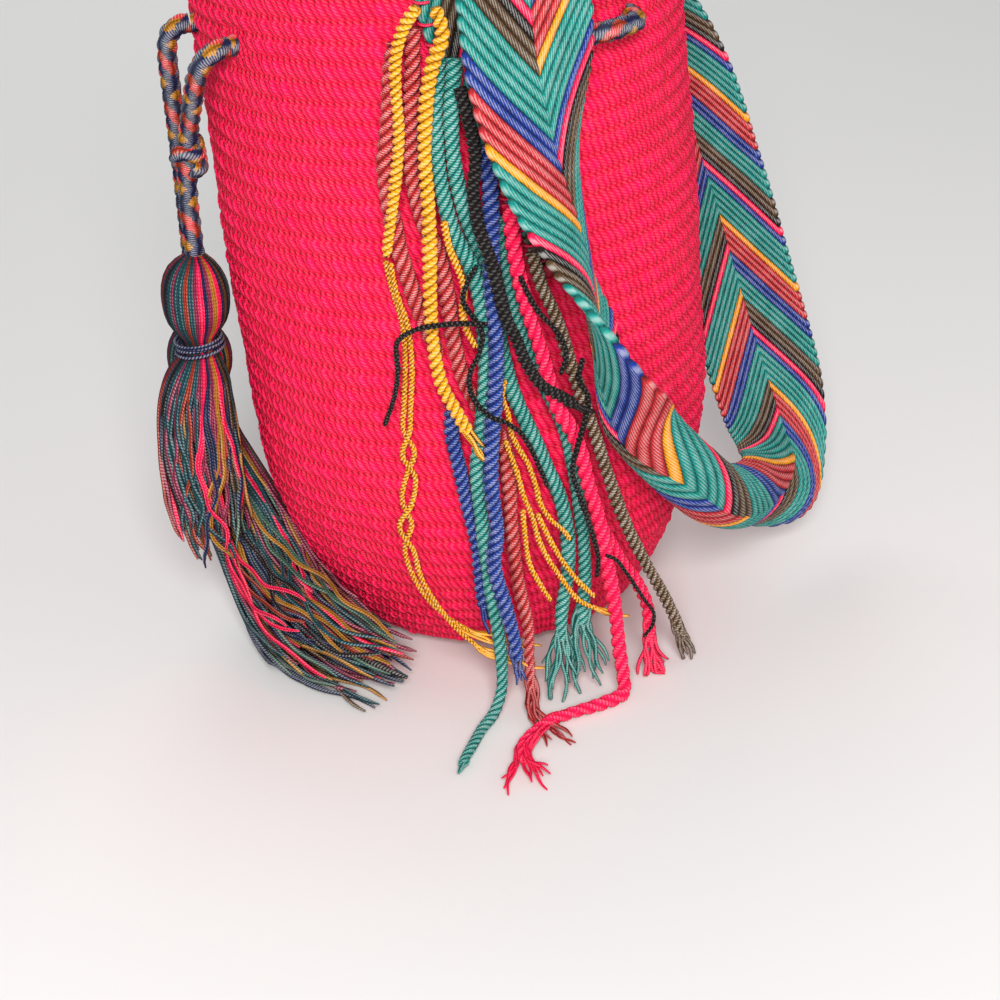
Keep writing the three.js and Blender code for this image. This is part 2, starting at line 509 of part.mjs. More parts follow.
function addTassels() {
  addPiece("tassel_1", podGeometry(FIRST_TASSEL), yarn("mixed"));
  addPiece("tassel_1_tie", tieGeometry(FIRST_TIE), yarn("mixed"));
  addPiece("tassel_2", podGeometry(SECOND_TASSEL), yarn("mixed"));
  addPiece("tassel_2_tie", tieGeometry(SECOND_TIE), yarn("mixed"));
}

function addFringe() {
  for (const cord of FRONT_FRINGE) {
    const step = cord.thickness < THIN ? THIN_STEP : CORD_STEP;
    addPiece(cord.name, cordGeometry(fringeCurve(cord), cord.thickness, step), yarn(cord.colour));
  }
  BACK_FRINGE.forEach((cord, index) => {
    const curve = backCurve(cord, index);
    const name = `back_${cord.colour}_cord_${index + 1}`;
    addPiece(name, cordGeometry(curve, BACK_THICKNESS, BACK_STEP), yarn(cord.colour));
  });
}

addBody();
addPiece("strap", strapGeometry(), yarn("teal"));
addDrawstring();
addTassels();
addFringe();

export default bag;
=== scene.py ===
import math

import bpy
import numpy as np
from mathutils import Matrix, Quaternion, Vector


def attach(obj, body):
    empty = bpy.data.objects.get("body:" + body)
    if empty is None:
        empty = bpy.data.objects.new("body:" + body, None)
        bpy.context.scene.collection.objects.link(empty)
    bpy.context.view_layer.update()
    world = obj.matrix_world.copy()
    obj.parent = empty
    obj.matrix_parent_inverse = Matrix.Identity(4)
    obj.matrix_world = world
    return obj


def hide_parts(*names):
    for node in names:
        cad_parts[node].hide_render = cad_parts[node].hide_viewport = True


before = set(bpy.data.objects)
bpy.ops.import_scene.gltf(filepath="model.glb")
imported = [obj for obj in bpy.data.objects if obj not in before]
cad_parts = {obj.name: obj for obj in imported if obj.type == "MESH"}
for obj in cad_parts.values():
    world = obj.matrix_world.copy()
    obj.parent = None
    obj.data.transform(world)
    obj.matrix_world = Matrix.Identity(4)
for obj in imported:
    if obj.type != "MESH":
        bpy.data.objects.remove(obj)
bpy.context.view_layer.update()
print("frame loaded,", len(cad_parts), "parts")

mm = 0.001
turn = 2 * math.pi
up = np.array([0.0, 0.0, 1.0])

yarnColours = {  # red, green, blue on the usual 0 to 255 scale
    "pink": (250, 12, 78),
    "teal": (12, 134, 123),
    "blue": (16, 55, 139),
    "coral": (188, 40, 40),
    "yellow": (242, 165, 6),
    "black": (16, 12, 10),
    "olive": (92, 65, 30),
    "plum": (138, 32, 67),
    "navy": (14, 29, 70),
    "deepTeal": (6, 70, 77),
    "sage": (62, 98, 80),
    "rust": (157, 46, 18),
    "mustard": (171, 114, 16),
    "slate": (42, 53, 77),
    # near-black: the tassels' inner tube, a dark fill standing in for shade among their strands; also used
    # for a few strands
    "core": (21, 11, 14),
}


def linear(colour):
    shares = [value / 255 for value in colour]
    return tuple(v / 12.92 if v <= 0.04045 else ((v + 0.055) / 1.055) ** 2.4 for v in shares)


yarns = {name: linear(colour) for name, colour in yarnColours.items()}

# Camera

cameraPlace = {
    "location": (-0.1819, -0.6344, 0.3632),
    "lookAt": (0.0033, -0.0009, 0.0307),
    "roll": -0.0985,  # radians, so the bag leans a little in view
    "lens": 79.6,
}


def addCamera(place):
    data = bpy.data.cameras.new("camera")
    data.lens = place["lens"]
    camera = bpy.data.objects.new("camera", data)
    bpy.context.scene.collection.objects.link(camera)
    sight = Vector(place["lookAt"]) - Vector(place["location"])
    facing = sight.to_track_quat("-Z", "Y") @ Quaternion((0, 0, 1), place["roll"])
    camera.location = place["location"]
    camera.rotation_mode = "QUATERNION"
    camera.rotation_quaternion = facing
    bpy.context.scene.camera = camera


addCamera(cameraPlace)
bpy.context.scene.view_settings.view_transform = "Standard"
print("camera set")

# Lines and rings


def smoothLine(points, perSpan=14):  # an even curve through points that lie unevenly
    p = np.array(points, float)
    padded = np.vstack([2 * p[0] - p[1], p, 2 * p[-1] - p[-2]])
    shares = np.linspace(0, 1, perSpan, endpoint=False)[:, None]
    pieces = []
    for index in range(len(p) - 1):
        a, b, c, d = padded[index:index + 4]
        before, span, after = (max(np.linalg.norm(v - u), 1e-9) ** 0.5 for u, v in ((a, b), (b, c), (c, d)))
        leave = ((b - a) / before - (c - a) / (before + span) + (c - b) / span) * span
        arrive = ((c - b) / span - (d - b) / (span + after) + (d - c) / after) * span
        square, cube = shares ** 2, shares ** 3
        pieces.append((2 * cube - 3 * square + 1) * b + (cube - 2 * square + shares) * leave
                      + (3 * square - 2 * cube) * c + (cube - square) * arrive)
    return np.vstack(pieces + [p[-1:]])


def lengthsAlong(line):
    return np.concatenate([[0], np.cumsum(np.linalg.norm(np.diff(line[:, :3], axis=0), axis=1))])


def evenly(line, step):  # the same line with its points one step apart; any further columns go with it
    along = lengthsAlong(line)
    count = max(3, round(along[-1] / step)) + 1
    wanted = np.linspace(0, along[-1], count)
    return np.stack([np.interp(wanted, along, line[:, column]) for column in range(line.shape[1])], axis=1)


def unit(vectors):
    return vectors / np.maximum(np.linalg.norm(vectors, axis=-1, keepdims=True), 1e-12)


def carriedFrames(line):  # sideways directions carried along a line without twisting about it
    along = unit(np.gradient(line, axis=0))
    side = np.cross(along[0], up if abs(along[0][2]) < 0.9 else np.array([1.0, 0, 0]))
    sides = []
    for direction in along:
        side = side - direction * side.dot(direction)
        side = side / np.linalg.norm(side)
        sides.append(side)
    sides = np.array(sides)
    return along, sides, np.cross(along, sides)


def plyShape(plies, around, depth):  # how far out the plies of a twisted cord reach, point by point round it
    half = math.pi / plies
    middle = 1 / (1 + math.sin(half))
    angles = (np.arange(around) * turn / around + half) % (2 * half) - half
    inside = np.maximum((1 - middle) ** 2 - (middle * np.sin(angles)) ** 2, 0)
    return 1 - depth * (1 - (middle * np.cos(angles) + np.sqrt(inside)))


def tubeMesh(line, radii, shape, turning, plies):
    # rings round a line, each turned on from the last; the map counts plies across and millimetres along
    count, around = len(line), len(shape)
    _, sides, outs = carriedFrames(line)
    angles = np.arange(around)[None, :] * turn / around + turning[:, None]
    spokes = np.cos(angles)[..., None] * sides[:, None] + np.sin(angles)[..., None] * outs[:, None]
    points = line[:, None] + spokes * (radii[:, None] * shape[None, :])[..., None]
    points = np.vstack([points.reshape(-1, 3), line[:1], line[-1:]])
    ring, step = np.meshgrid(np.arange(count - 1), np.arange(around), indexing="ij")
    here, following = (ring * around + step).ravel(), (ring * around + (step + 1) % around).ravel()
    quads = np.stack([here, following, following + around, here + around], axis=1)
    steps = np.arange(around)
    nextSteps = (steps + 1) % around
    last = (count - 1) * around
    first = np.stack([np.full(around, count * around), nextSteps, steps], axis=1)
    final = np.stack([np.full(around, count * around + 1), last + steps, last + nextSteps], axis=1)
    wrap = plies / around
    along = lengthsAlong(line) / mm
    ply = step.ravel() * wrap + 0.5
    low, high = along[ring.ravel()], along[ring.ravel() + 1]
    quadMap = np.stack([ply, low, ply + wrap, low, ply + wrap, high, ply, high], axis=1).reshape(-1, 2)
    capPly = steps * wrap + 0.5
    zeros = np.zeros(around)
    firstMap = np.stack([capPly, zeros, capPly + wrap, zeros, capPly, zeros], axis=1).reshape(-1, 2)
    finalMap = firstMap + [0, along[-1]]
    faces = quads.tolist() + first.tolist() + final.tolist()
    return points, faces, np.vstack([quadMap, firstMap, finalMap])


def joined(meshes):  # several (points, faces, map) as one
    points, faces, maps, start = [], [], [], 0
    for somePoints, someFaces, someMap in meshes:
        points.append(somePoints)
        faces.extend([[start + index for index in face] for face in someFaces])
        maps.append(someMap)
        start += len(somePoints)
    return np.vstack(points), faces, np.vstack(maps)


def makePiece(name, mesh, material, nodes=(), colours=None, attributes=None):
    # colours holds one colour for each face; attributes holds one number for each point
    points, faces, surfaceMap = mesh
    data = bpy.data.meshes.new(name)
    data.from_pydata(points.tolist(), [], faces)
    layer = data.uv_layers.new(name="UVMap")
    layer.data.foreach_set("uv", np.asarray(surfaceMap, np.float32).ravel())
    data.polygons.foreach_set("use_smooth", np.ones(len(faces), bool))
    if colours is not None:
        corners = np.repeat(np.asarray(colours, np.float32), [len(face) for face in faces], axis=0)
        corners = np.hstack([corners, np.ones((len(corners), 1), np.float32)])
        data.color_attributes.new("yarn", "FLOAT_COLOR", "CORNER").data.foreach_set("color", corners.ravel())
    for key, values in (attributes or {}).items():
        data.attributes.new(key, "FLOAT", "POINT").data.foreach_set("value", np.asarray(values, np.float32))
    data.materials.append(material)
    data.update()
    piece = bpy.data.objects.new(name, data)
    bpy.context.scene.collection.objects.link(piece)
    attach(piece, "root")
    if nodes:
        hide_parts(*nodes)
    return piece


# Yarn material: painted highlight on the ply crowns, painted shade in the grooves


def addNode(tree, kind, **settings):
    made = tree.nodes.new(kind)
    for key, value in settings.items():
        setattr(made, key, value)
    return made


def feed(tree, socket, value):
    if isinstance(value, bpy.types.NodeSocket):
        tree.links.new(value, socket)
    elif value is not None:
        socket.default_value = value


def calc(tree, operation, a, b=None, c=None, clamp=False):
    made = addNode(tree, "ShaderNodeMath", operation=operation, use_clamp=clamp)
    for socket, value in zip(made.inputs, (a, b, c)):
        feed(tree, socket, value)
    return made.outputs[0]


def mixColour(tree, share, a, b, blend="MIX"):
    made = addNode(tree, "ShaderNodeMix", data_type="RGBA", blend_type=blend)
    feed(tree, made.inputs[0], share)
    feed(tree, made.inputs[6], a)
    feed(tree, made.inputs[7], b)
    return made.outputs[2]


def makeYarnGroup():
    # painted highlight on the crowns of twisted plies and painted shade in the grooves between them, with the
    # finer twist of the yarn on each painted as lighter and darker marks
    group = bpy.data.node_groups.new("twistedYarn", "ShaderNodeTree")
    sockets = [("Base", "INPUT", "Color"), ("Wrap", "INPUT", "Vector"), ("Place", "INPUT", "Vector"),
               ("Marks", "INPUT", "Float"), ("ShadeInGrooves", "INPUT", "Float"), ("HighlightOnCrowns", "INPUT", "Float"),
               ("Color", "OUTPUT", "Color"), ("Height", "OUTPUT", "Float")]
    for name, direction, kind in sockets:
        group.interface.new_socket(name, in_out=direction, socket_type="NodeSocket" + kind)
    given = addNode(group, "NodeGroupInput").outputs
    wrap = addNode(group, "ShaderNodeSeparateXYZ")
    group.links.new(given["Wrap"], wrap.inputs[0])
    crown = calc(group, "ABSOLUTE", calc(group, "SINE", calc(group, "MULTIPLY", wrap.outputs[0], math.pi)))
    crown = calc(group, "POWER", crown, 0.7)
    phase = calc(group, "MULTIPLY_ADD", wrap.outputs[1], given["Marks"], wrap.outputs[0])
    wave = calc(group, "SINE", calc(group, "MULTIPLY", phase, turn))
    mark = calc(group, "MULTIPLY_ADD", wave, 0.5, 0.5)
    fuzz = addNode(group, "ShaderNodeTexNoise")
    group.links.new(given["Place"], fuzz.inputs["Vector"])
    fuzz.inputs["Scale"].default_value = 1700
    fuzz.inputs["Detail"].default_value = 3
    patch = addNode(group, "ShaderNodeTexNoise")
    group.links.new(given["Place"], patch.inputs["Vector"])
    patch.inputs["Scale"].default_value = 160
    loose = calc(group, "SUBTRACT", fuzz.outputs["Fac"], 0.5)
    # light: painted highlight and shade from the ply crowns and twist marks, plus random tone from the two
    # noises
    light = calc(group, "MULTIPLY", crown, calc(group, "MULTIPLY_ADD", mark, 0.6, 0.45))
    light = calc(group, "MULTIPLY_ADD", loose, 0.7, light)
    light = calc(group, "MULTIPLY_ADD", calc(group, "SUBTRACT", patch.outputs["Fac"], 0.5), 0.5, light)
    # painted shade: the base colour darkened towards black in the grooves
    dark = mixColour(group, given["ShadeInGrooves"], given["Base"], (0.012, 0.006, 0.008, 1))
    # painted highlight: the base colour mixed towards warm white on the crowns
    bright = mixColour(group, given["HighlightOnCrowns"], given["Base"], (1, 0.97, 0.93, 1))
    lower = calc(group, "MULTIPLY", light, 2.1, clamp=True)
    upper = calc(group, "MULTIPLY_ADD", light, 2.0, -1.0, clamp=True)
    colour = mixColour(group, upper, mixColour(group, lower, dark, given["Base"]), bright)
    height = calc(group, "MULTIPLY_ADD", mark, 0.35, crown)
    height = calc(group, "MULTIPLY_ADD", loose, 0.5, height)
    out = addNode(group, "NodeGroupOutput")
    group.links.new(colour, out.inputs["Color"])
    group.links.new(height, out.inputs["Height"])
    return group


yarnGroup = makeYarnGroup()


def yarnMaterial(name, colour=None, marks=1.5, grooveShade=0.8, crownHighlight=0.3, bump=0.4, sheen=0.0):
    # without a colour of its own it reads each face's colour
    material = bpy.data.materials.new(name)
    material.use_nodes = True
    tree = material.node_tree
    shader = tree.nodes["Principled BSDF"]
    spun = addNode(tree, "ShaderNodeGroup", node_tree=yarnGroup)
    place = addNode(tree, "ShaderNodeTexCoord")
    tree.links.new(place.outputs["UV"], spun.inputs["Wrap"])
    tree.links.new(place.outputs["Object"], spun.inputs["Place"])
    if colour is None:
        painted = addNode(tree, "ShaderNodeAttribute", attribute_name="yarn")
        tree.links.new(painted.outputs["Color"], spun.inputs["Base"])
    else:
        spun.inputs["Base"].default_value = (*colour, 1)
    # pitch of the twist marks, painted shade in the grooves, painted highlight on the crowns
    for key, value in (("Marks", marks), ("ShadeInGrooves", grooveShade), ("HighlightOnCrowns", crownHighlight)):
        spun.inputs[key].default_value = value
    relief = addNode(tree, "ShaderNodeBump")
    relief.inputs["Strength"].default_value = 1
    relief.inputs["Distance"].default_value = bump * mm
    tree.links.new(spun.outputs["Height"], relief.inputs["Height"])
    tree.links.new(spun.outputs["Color"], shader.inputs["Base Color"])
    tree.links.new(relief.outputs["Normal"], shader.inputs["Normal"])
    shader.inputs["Roughness"].default_value = 0.78
    shader.inputs["Specular IOR Level"].default_value = 0.18
    shader.inputs["Sheen Weight"].default_value = sheen
    shader.inputs["Sheen Roughness"].default_value = 0.5
    return material


# Fringe: the strap's unwoven cords in front

fringe = {
    "wallRadius": 0.075,
    "gap": 0.0003,
    "layer": 0.0043,  # pitch of the layers in which the cords cross each other
    "ringStep": 0.0007,
    "around": 12,
    "thin": 0.0025,  # cords under this thickness are two plies
    # how much fatter the loose plies are than the cord pulled tight
    "fullness": {"black": 1.0, "olive": 1.2},
    "usualFullness": 1.34,
}
frontFringe = [
    {"name": "yellowCord1", "node": "yellow_cord_1", "colour": "yellow", "thickness": 0.0028,
     "route": [
         (-0.0265, 0.219, 1.6), (-0.03, 0.214, 1.3), (-0.033, 0.206, 1), (-0.034, 0.196, 1),
         (-0.0345, 0.184, 1), (-0.038, 0.165, 1), (-0.0415, 0.149, 1),
     ]},
    {"name": "yellowStrand1", "node": "yellow_strand_1", "colour": "yellow", "thickness": 0.0015,
     "route": [
         (-0.0434, 0.146, 0), (-0.0424, 0.137, 0), (-0.0406, 0.127, 0), (-0.041, 0.116, 0),
         (-0.043, 0.101, 0), (-0.044, 0.093, 0), (-0.0415, 0.086, 0), (-0.0445, 0.079, 0),
         (-0.047, 0.07, 0), (-0.045, 0.062, 0), (-0.048, 0.054, 0), (-0.047, 0.046, 0),
         (-0.043, 0.037, 0), (-0.037, 0.03, 0), (-0.031, 0.025, 0),
     ]},
    {"name": "yellowStrand2", "node": "yellow_strand_2", "colour": "yellow", "thickness": 0.0015,
     "route": [
         (-0.0414, 0.146, 0.5), (-0.0406, 0.137, 0.5), (-0.0386, 0.127, 0.5), (-0.0386, 0.116, 0.5),
         (-0.0405, 0.101, 0.5), (-0.0415, 0.094, 0.5), (-0.0445, 0.086, 0.5), (-0.0415, 0.079, 0.5),
         (-0.0435, 0.07, 0.5), (-0.048, 0.062, 0.5), (-0.0445, 0.054, 0.5), (-0.0435, 0.046, 0.5),
         (-0.04, 0.037, 0.5), (-0.034, 0.027, 0.5), (-0.027, 0.019, 0.5),
     ]},
    {"name": "yellowCord2", "node": "yellow_cord_2", "colour": "yellow", "thickness": 0.0033,
     "route": [
         (-0.022, 0.219, 2), (-0.021, 0.212, 2), (-0.024, 0.204, 2), (-0.026, 0.196, 2),
         (-0.028, 0.18, 2), (-0.0285, 0.165, 2), (-0.0295, 0.15, 2), (-0.0305, 0.138, 2),
         (-0.031, 0.125, 2), (-0.03, 0.112, 2), (-0.027, 0.103, 2), (-0.0245, 0.096, 2),
     ]},
    {"name": "yellowCord3", "node": "yellow_cord_3", "colour": "yellow", "thickness": 0.0018,
     "route": [
         (-0.0252, 0.16, 2), (-0.0245, 0.152, 2), (-0.023, 0.146, 2), (-0.022, 0.14, 2),
         (-0.023, 0.134, 2), (-0.0225, 0.128, 2), (-0.0205, 0.122, 2),
     ]},
    {"name": "yellowStrand3", "node": "yellow_strand_3", "colour": "yellow", "thickness": 0.0015,
     "route": [
         (-0.014, 0.11, 1.5), (-0.015, 0.105, 1.5), (-0.014, 0.1, 1.5), (-0.0135, 0.093, 1.5),
         (-0.012, 0.088, 1.5), (-0.01, 0.083, 1.5), (-0.0085, 0.076, 1.5), (-0.0075, 0.069, 1.5),
         (-0.005, 0.063, 1.5), (-0.002, 0.059, 1.5), (0, 0.055, 1.5),
     ]},
    {"name": "yellowStrand4", "node": "yellow_strand_4", "colour": "yellow", "thickness": 0.0015,
     "route": [
         (-0.0154, 0.091, 1.5), (-0.013, 0.08, 1.5), (-0.012, 0.073, 1.5), (-0.01, 0.065, 1.5),
         (-0.009, 0.058, 1.5), (-0.007, 0.051, 1.5), (-0.004, 0.044, 1.5), (0.001, 0.034, 1.5),
         (0.008, 0.028, 1.5),
     ]},
    {"name": "yellowStrand5", "node": "yellow_strand_5", "colour": "yellow", "thickness": 0.0015,
     "route": [
         (-0.009, 0.067, 2), (-0.006, 0.057, 2), (-0.003, 0.049, 2), (0.001, 0.041, 2),
         (0.005, 0.035, 2),
     ]},
    {"name": "yellowStrand6", "node": "yellow_strand_6", "colour": "yellow", "thickness": 0.0015,
     "route": [
         (-0.0125, 0.068, 1.5), (-0.0125, 0.06, 1.5), (-0.012, 0.05, 1.5), (-0.0095, 0.042, 1.5),
         (-0.007, 0.036, 1.5),
     ]},
    {"name": "coralCord1", "node": "coral_cord_1", "colour": "coral", "thickness": 0.0039,
     "route": [
         (-0.0335, 0.208, 0), (-0.036, 0.198, 0), (-0.0375, 0.188, 0), (-0.04, 0.174, 0),
         (-0.0395, 0.156, 0), (-0.037, 0.14, 0), (-0.0345, 0.129, 0), (-0.031, 0.117, 0),
     ]},
    {"name": "coralCord2", "node": "coral_cord_2", "colour": "coral", "thickness": 0.0036,
     "route": [
         (-0.0285, 0.212, 0), (-0.0295, 0.203, 0), (-0.0315, 0.188, 0), (-0.033, 0.172, 0),
         (-0.0315, 0.158, 0), (-0.028, 0.148, 0), (-0.027, 0.136, 0), (-0.0265, 0.122, 0),
         (-0.0245, 0.108, 0), (-0.02, 0.097, 0), (-0.0155, 0.088, 0), (-0.015, 0.076, 0),
         (-0.0155, 0.06, 0), (-0.015, 0.04, 0), (-0.0135, 0.026, 0), (-0.014, 0.015, 0),
     ],
     "floor": [
         (-0.015, -0.0775, 0.0065), (-0.0162, -0.0805, 0.0028), (-0.0176, -0.087, 0.0021),
     ]},
    {"name": "tealCord1", "node": "teal_cord_1", "colour": "teal", "thickness": 0.0036,
     "route": [
         (-0.0225, 0.207, 1), (-0.025, 0.189, 1), (-0.0253, 0.172, 1), (-0.0234, 0.156, 1),
         (-0.02, 0.146, 1), (-0.0184, 0.137, 1), (-0.018, 0.126, 1), (-0.0188, 0.112, 1),
         (-0.021, 0.096, 1), (-0.0234, 0.082, 1), (-0.0236, 0.062, 1), (-0.023, 0.044, 1),
         (-0.0223, 0.028, 1), (-0.0223, 0.015, 1),
     ],
     "floor": [
         (-0.0252, -0.079, 0.007), (-0.029, -0.0825, 0.0027), (-0.035, -0.0885, 0.002),
         (-0.041, -0.0965, 0.002), (-0.047, -0.1045, 0.002),
     ]},
    {"name": "tealCord2", "node": "teal_cord_2", "colour": "teal", "thickness": 0.0036,
     "route": [
         (-0.0186, 0.204, 1), (-0.021, 0.188, 1), (-0.0212, 0.172, 1), (-0.0192, 0.157, 0.6),
         (-0.0162, 0.146, 0.1), (-0.0143, 0.134, 0), (-0.0136, 0.121, 0), (-0.012, 0.106, 0),
         (-0.009, 0.095, 0), (-0.006, 0.086, 0), (-0.003, 0.076, 0), (-0.0005, 0.067, 0),
         (0.0008, 0.056, 0), (0, 0.042, 0), (-0.003, 0.028, 0), (-0.004, 0.018, 0),
     ]},
    {"name": "tealCord3", "node": "teal_cord_3", "colour": "teal", "thickness": 0.0034,
     "route": [
         (-0.0104, 0.157, 0), (-0.0102, 0.15, 0), (-0.0096, 0.14, 0), (-0.0088, 0.13, 0),
         (-0.0062, 0.116, 0), (-0.0028, 0.105, 0), (0.0005, 0.096, 0), (0.0032, 0.086, 0),
         (0.0046, 0.076, 0), (0.0053, 0.064, 0), (0.0058, 0.05, 0), (0.005, 0.036, 0), (0.003, 0.022, 0),
     ]},
    {"name": "blueCord1", "node": "blue_cord_1", "colour": "blue", "thickness": 0.0038,
     "route": [
         (-0.014, 0.179, 1), (-0.013, 0.169, 1.05), (-0.0135, 0.16, 1.4), (-0.0146, 0.15, 2),
         (-0.0154, 0.138, 2), (-0.0156, 0.122, 2), (-0.017, 0.108, 2), (-0.0188, 0.095, 2),
         (-0.0202, 0.08, 2), (-0.02, 0.064, 2), (-0.0216, 0.053, 2), (-0.02, 0.04, 2),
         (-0.0184, 0.028, 2), (-0.018, 0.019, 2),
     ]},
    {"name": "blueCord2", "node": "blue_cord_2", "colour": "blue", "thickness": 0.0035,
     "route": [
         (-0.0288, 0.101, 0), (-0.0298, 0.092, 0), (-0.0286, 0.08, 0), (-0.0276, 0.068, 0),
         (-0.026, 0.056, 0), (-0.026, 0.044, 0), (-0.0258, 0.033, 0),
     ]},
    {"name": "blackCord1", "node": "black_cord_1", "colour": "black", "thickness": 0.004,
     "route": [
         (-0.0182, 0.197, 2), (-0.017, 0.188, 2), (-0.0162, 0.178, 2), (-0.0176, 0.168, 2.4),
         (-0.017, 0.158, 2.95), (-0.0154, 0.15, 3), (-0.0142, 0.141, 3), (-0.013, 0.132, 3),
         (-0.011, 0.125, 3), (-0.0094, 0.118, 3), (-0.006, 0.11, 3), (-0.0015, 0.1054, 3),
         (0.0022, 0.1015, 3),
     ]},
    {"name": "blackCord2", "node": "black_cord_2", "colour": "black", "thickness": 0.0019,
     "route": [
         (-0.0186, 0.148, 3.1), (-0.0212, 0.143, 3), (-0.0225, 0.138, 3), (-0.0206, 0.133, 3),
         (-0.0188, 0.128, 3), (-0.02, 0.122, 3), (-0.0226, 0.116, 3), (-0.023, 0.111, 3),
         (-0.0214, 0.106, 3), (-0.0184, 0.102, 3), (-0.015, 0.0995, 3), (-0.012, 0.096, 3),
         (-0.01, 0.091, 3), (-0.0084, 0.085, 3), (-0.0064, 0.077, 3),
     ]},
    {"name": "blackCord3", "node": "black_cord_3", "colour": "black", "thickness": 0.0019,
     "route": [
         (-0.0174, 0.1316, 3.7), (-0.023, 0.1326, 3.7), (-0.032, 0.132, 3.6), (-0.0366, 0.1296, 3.3),
         (-0.0394, 0.126, 2.9), (-0.0406, 0.116, 2.3), (-0.0436, 0.106, 1.5), (-0.0484, 0.096, 0.7),
     ]},
    {"name": "blackCord4", "node": "black_cord_4", "colour": "black", "thickness": 0.0019,
     "route": [
         (-0.0086, 0.143, 3), (-0.007, 0.137, 3), (-0.0046, 0.131, 3), (-0.0016, 0.126, 3),
         (0.0004, 0.121, 3), (0.0008, 0.1164, 3), (-0.001, 0.1116, 3),
     ]},
    {"name": "blackCord5", "node": "black_cord_5", "colour": "black", "thickness": 0.002,
     "route": [
         (0.005, 0.115, 3), (0.0036, 0.109, 3), (0.0056, 0.103, 3), (0.004, 0.095, 3),
         (0.0018, 0.088, 3), (0, 0.081, 3), (0.001, 0.074, 3), (0.003, 0.064, 3), (0.0044, 0.056, 3),
         (0.005, 0.05, 3), (0.0042, 0.0445, 3),
     ]},
    {"name": "blackCord6", "node": "black_cord_6", "colour": "black", "thickness": 0.0015,
     "route": [
         (0.0074, 0.0505, 3), (0.01, 0.048, 3), (0.0124, 0.043, 3), (0.015, 0.037, 3), (0.018, 0.03, 3),
         (0.02, 0.0255, 3), (0.0194, 0.0215, 3), (0.0164, 0.0185, 3),
     ]},
    {"name": "pinkCord1", "node": "pink_cord_1", "colour": "pink", "thickness": 0.0036,
     "route": [
         (-0.009, 0.163, 2), (-0.009, 0.15, 2), (-0.0082, 0.14, 2), (-0.0066, 0.129, 2),
         (-0.0046, 0.119, 2), (-0.003, 0.108, 2), (-0.0014, 0.1, 2), (0.0018, 0.092, 2),
         (0.0038, 0.084, 2), (0.005, 0.074, 2), (0.007, 0.063, 2), (0.0085, 0.048, 2), (0.01, 0.03, 2),
         (0.0104, 0.015, 2),
     ],
     "floor": [
         (0.0118, -0.087, 0.0065), (0.0104, -0.09, 0.0029), (0.003, -0.0916, 0.0021),
         (-0.008, -0.0924, 0.0021), (-0.019, -0.0954, 0.0021), (-0.027, -0.102, 0.0021),
         (-0.03, -0.1105, 0.0021),
     ]},
    {"name": "pinkCord2", "node": "pink_cord_2", "colour": "pink", "thickness": 0.0032,
     "route": [
         (0.008, 0.063, 1), (0.011, 0.053, 1), (0.016, 0.041, 1), (0.02, 0.033, 1), (0.023, 0.024, 1),
         (0.0234, 0.016, 1), (0.0228, 0.009, 1),
     ]},
    {"name": "oliveCord1", "node": "olive_cord_1", "colour": "olive", "thickness": 0.0035,
     "route": [
         (-0.0046, 0.148, 2), (-0.003, 0.138, 2), (-0.0006, 0.13, 2), (0.0014, 0.121, 2),
         (0.003, 0.112, 2), (0.0048, 0.104, 2), (0.0068, 0.095, 2), (0.0088, 0.085, 2),
         (0.0108, 0.075, 2), (0.0132, 0.064, 2), (0.0166, 0.052, 2), (0.021, 0.04, 2),
         (0.0254, 0.029, 2), (0.0294, 0.018, 2), (0.032, 0.009, 2),
     ]},
]
backFringe = [
    {"colour": "yellow", "start": (-0.0204, 0.207), "end": (-0.023, 0.046)},
    {"colour": "coral", "start": (-0.0164, 0.187), "end": (-0.018, 0.03)},
    {"colour": "teal", "start": (-0.0118, 0.167), "end": (-0.013, 0.021)},
    {"colour": "black", "start": (-0.007, 0.146), "end": (-0.0074, 0.038)},
    {"colour": "blue", "start": (0, 0.134), "end": (-0.0016, 0.024)},
    {"colour": "pink", "start": (0.0066, 0.145), "end": (0.005, 0.017)},
    {"colour": "olive", "start": (0.0116, 0.166), "end": (0.0114, 0.034)},
    {"colour": "teal", "start": (0.0162, 0.186), "end": (0.0176, 0.026)},
]
cordTwistAndShade = {  # plies, turns for each diameter of length, twist marks, painted highlight on the crowns, painted shade in the grooves
    "yellow": {"plies": 2, "twist": 0.62, "marks": 1.3, "crownHighlight": 0.2, "grooveShade": 0.8},
    "coral": {"plies": 3, "twist": 0.36, "marks": 1.7, "crownHighlight": 0.3, "grooveShade": 0.75},
    "teal": {"plies": 4, "twist": 0.34, "marks": 1.7, "crownHighlight": 0.34, "grooveShade": 0.85},
    "blue": {"plies": 3, "twist": 0.42, "marks": 1.7, "crownHighlight": 0.25, "grooveShade": 0.8},
    "black": {"plies": 3, "twist": 0.6, "marks": 1.4, "crownHighlight": 0.06, "grooveShade": 0.8},
    "pink": {"plies": 3, "twist": 0.3, "marks": 1.2, "crownHighlight": 0.1, "grooveShade": 0.4},
    "olive": {"plies": 3, "twist": 0.42, "marks": 1.6, "crownHighlight": 0.35, "grooveShade": 0.85},
}
cordMaterials = {
    colour: yarnMaterial(colour + "Cord", yarns[colour], kind["marks"], kind["grooveShade"], kind["crownHighlight"])
    for colour, kind in cordTwistAndShade.items()
}


def onWall(across, height, lift, facing=0.0):  # a place outside the bag's wall, lift beyond its widest radius
    angle = across / fringe["wallRadius"] + facing
    radius = fringe["wallRadius"] + lift
    return (radius * math.sin(angle), -radius * math.cos(angle), height)


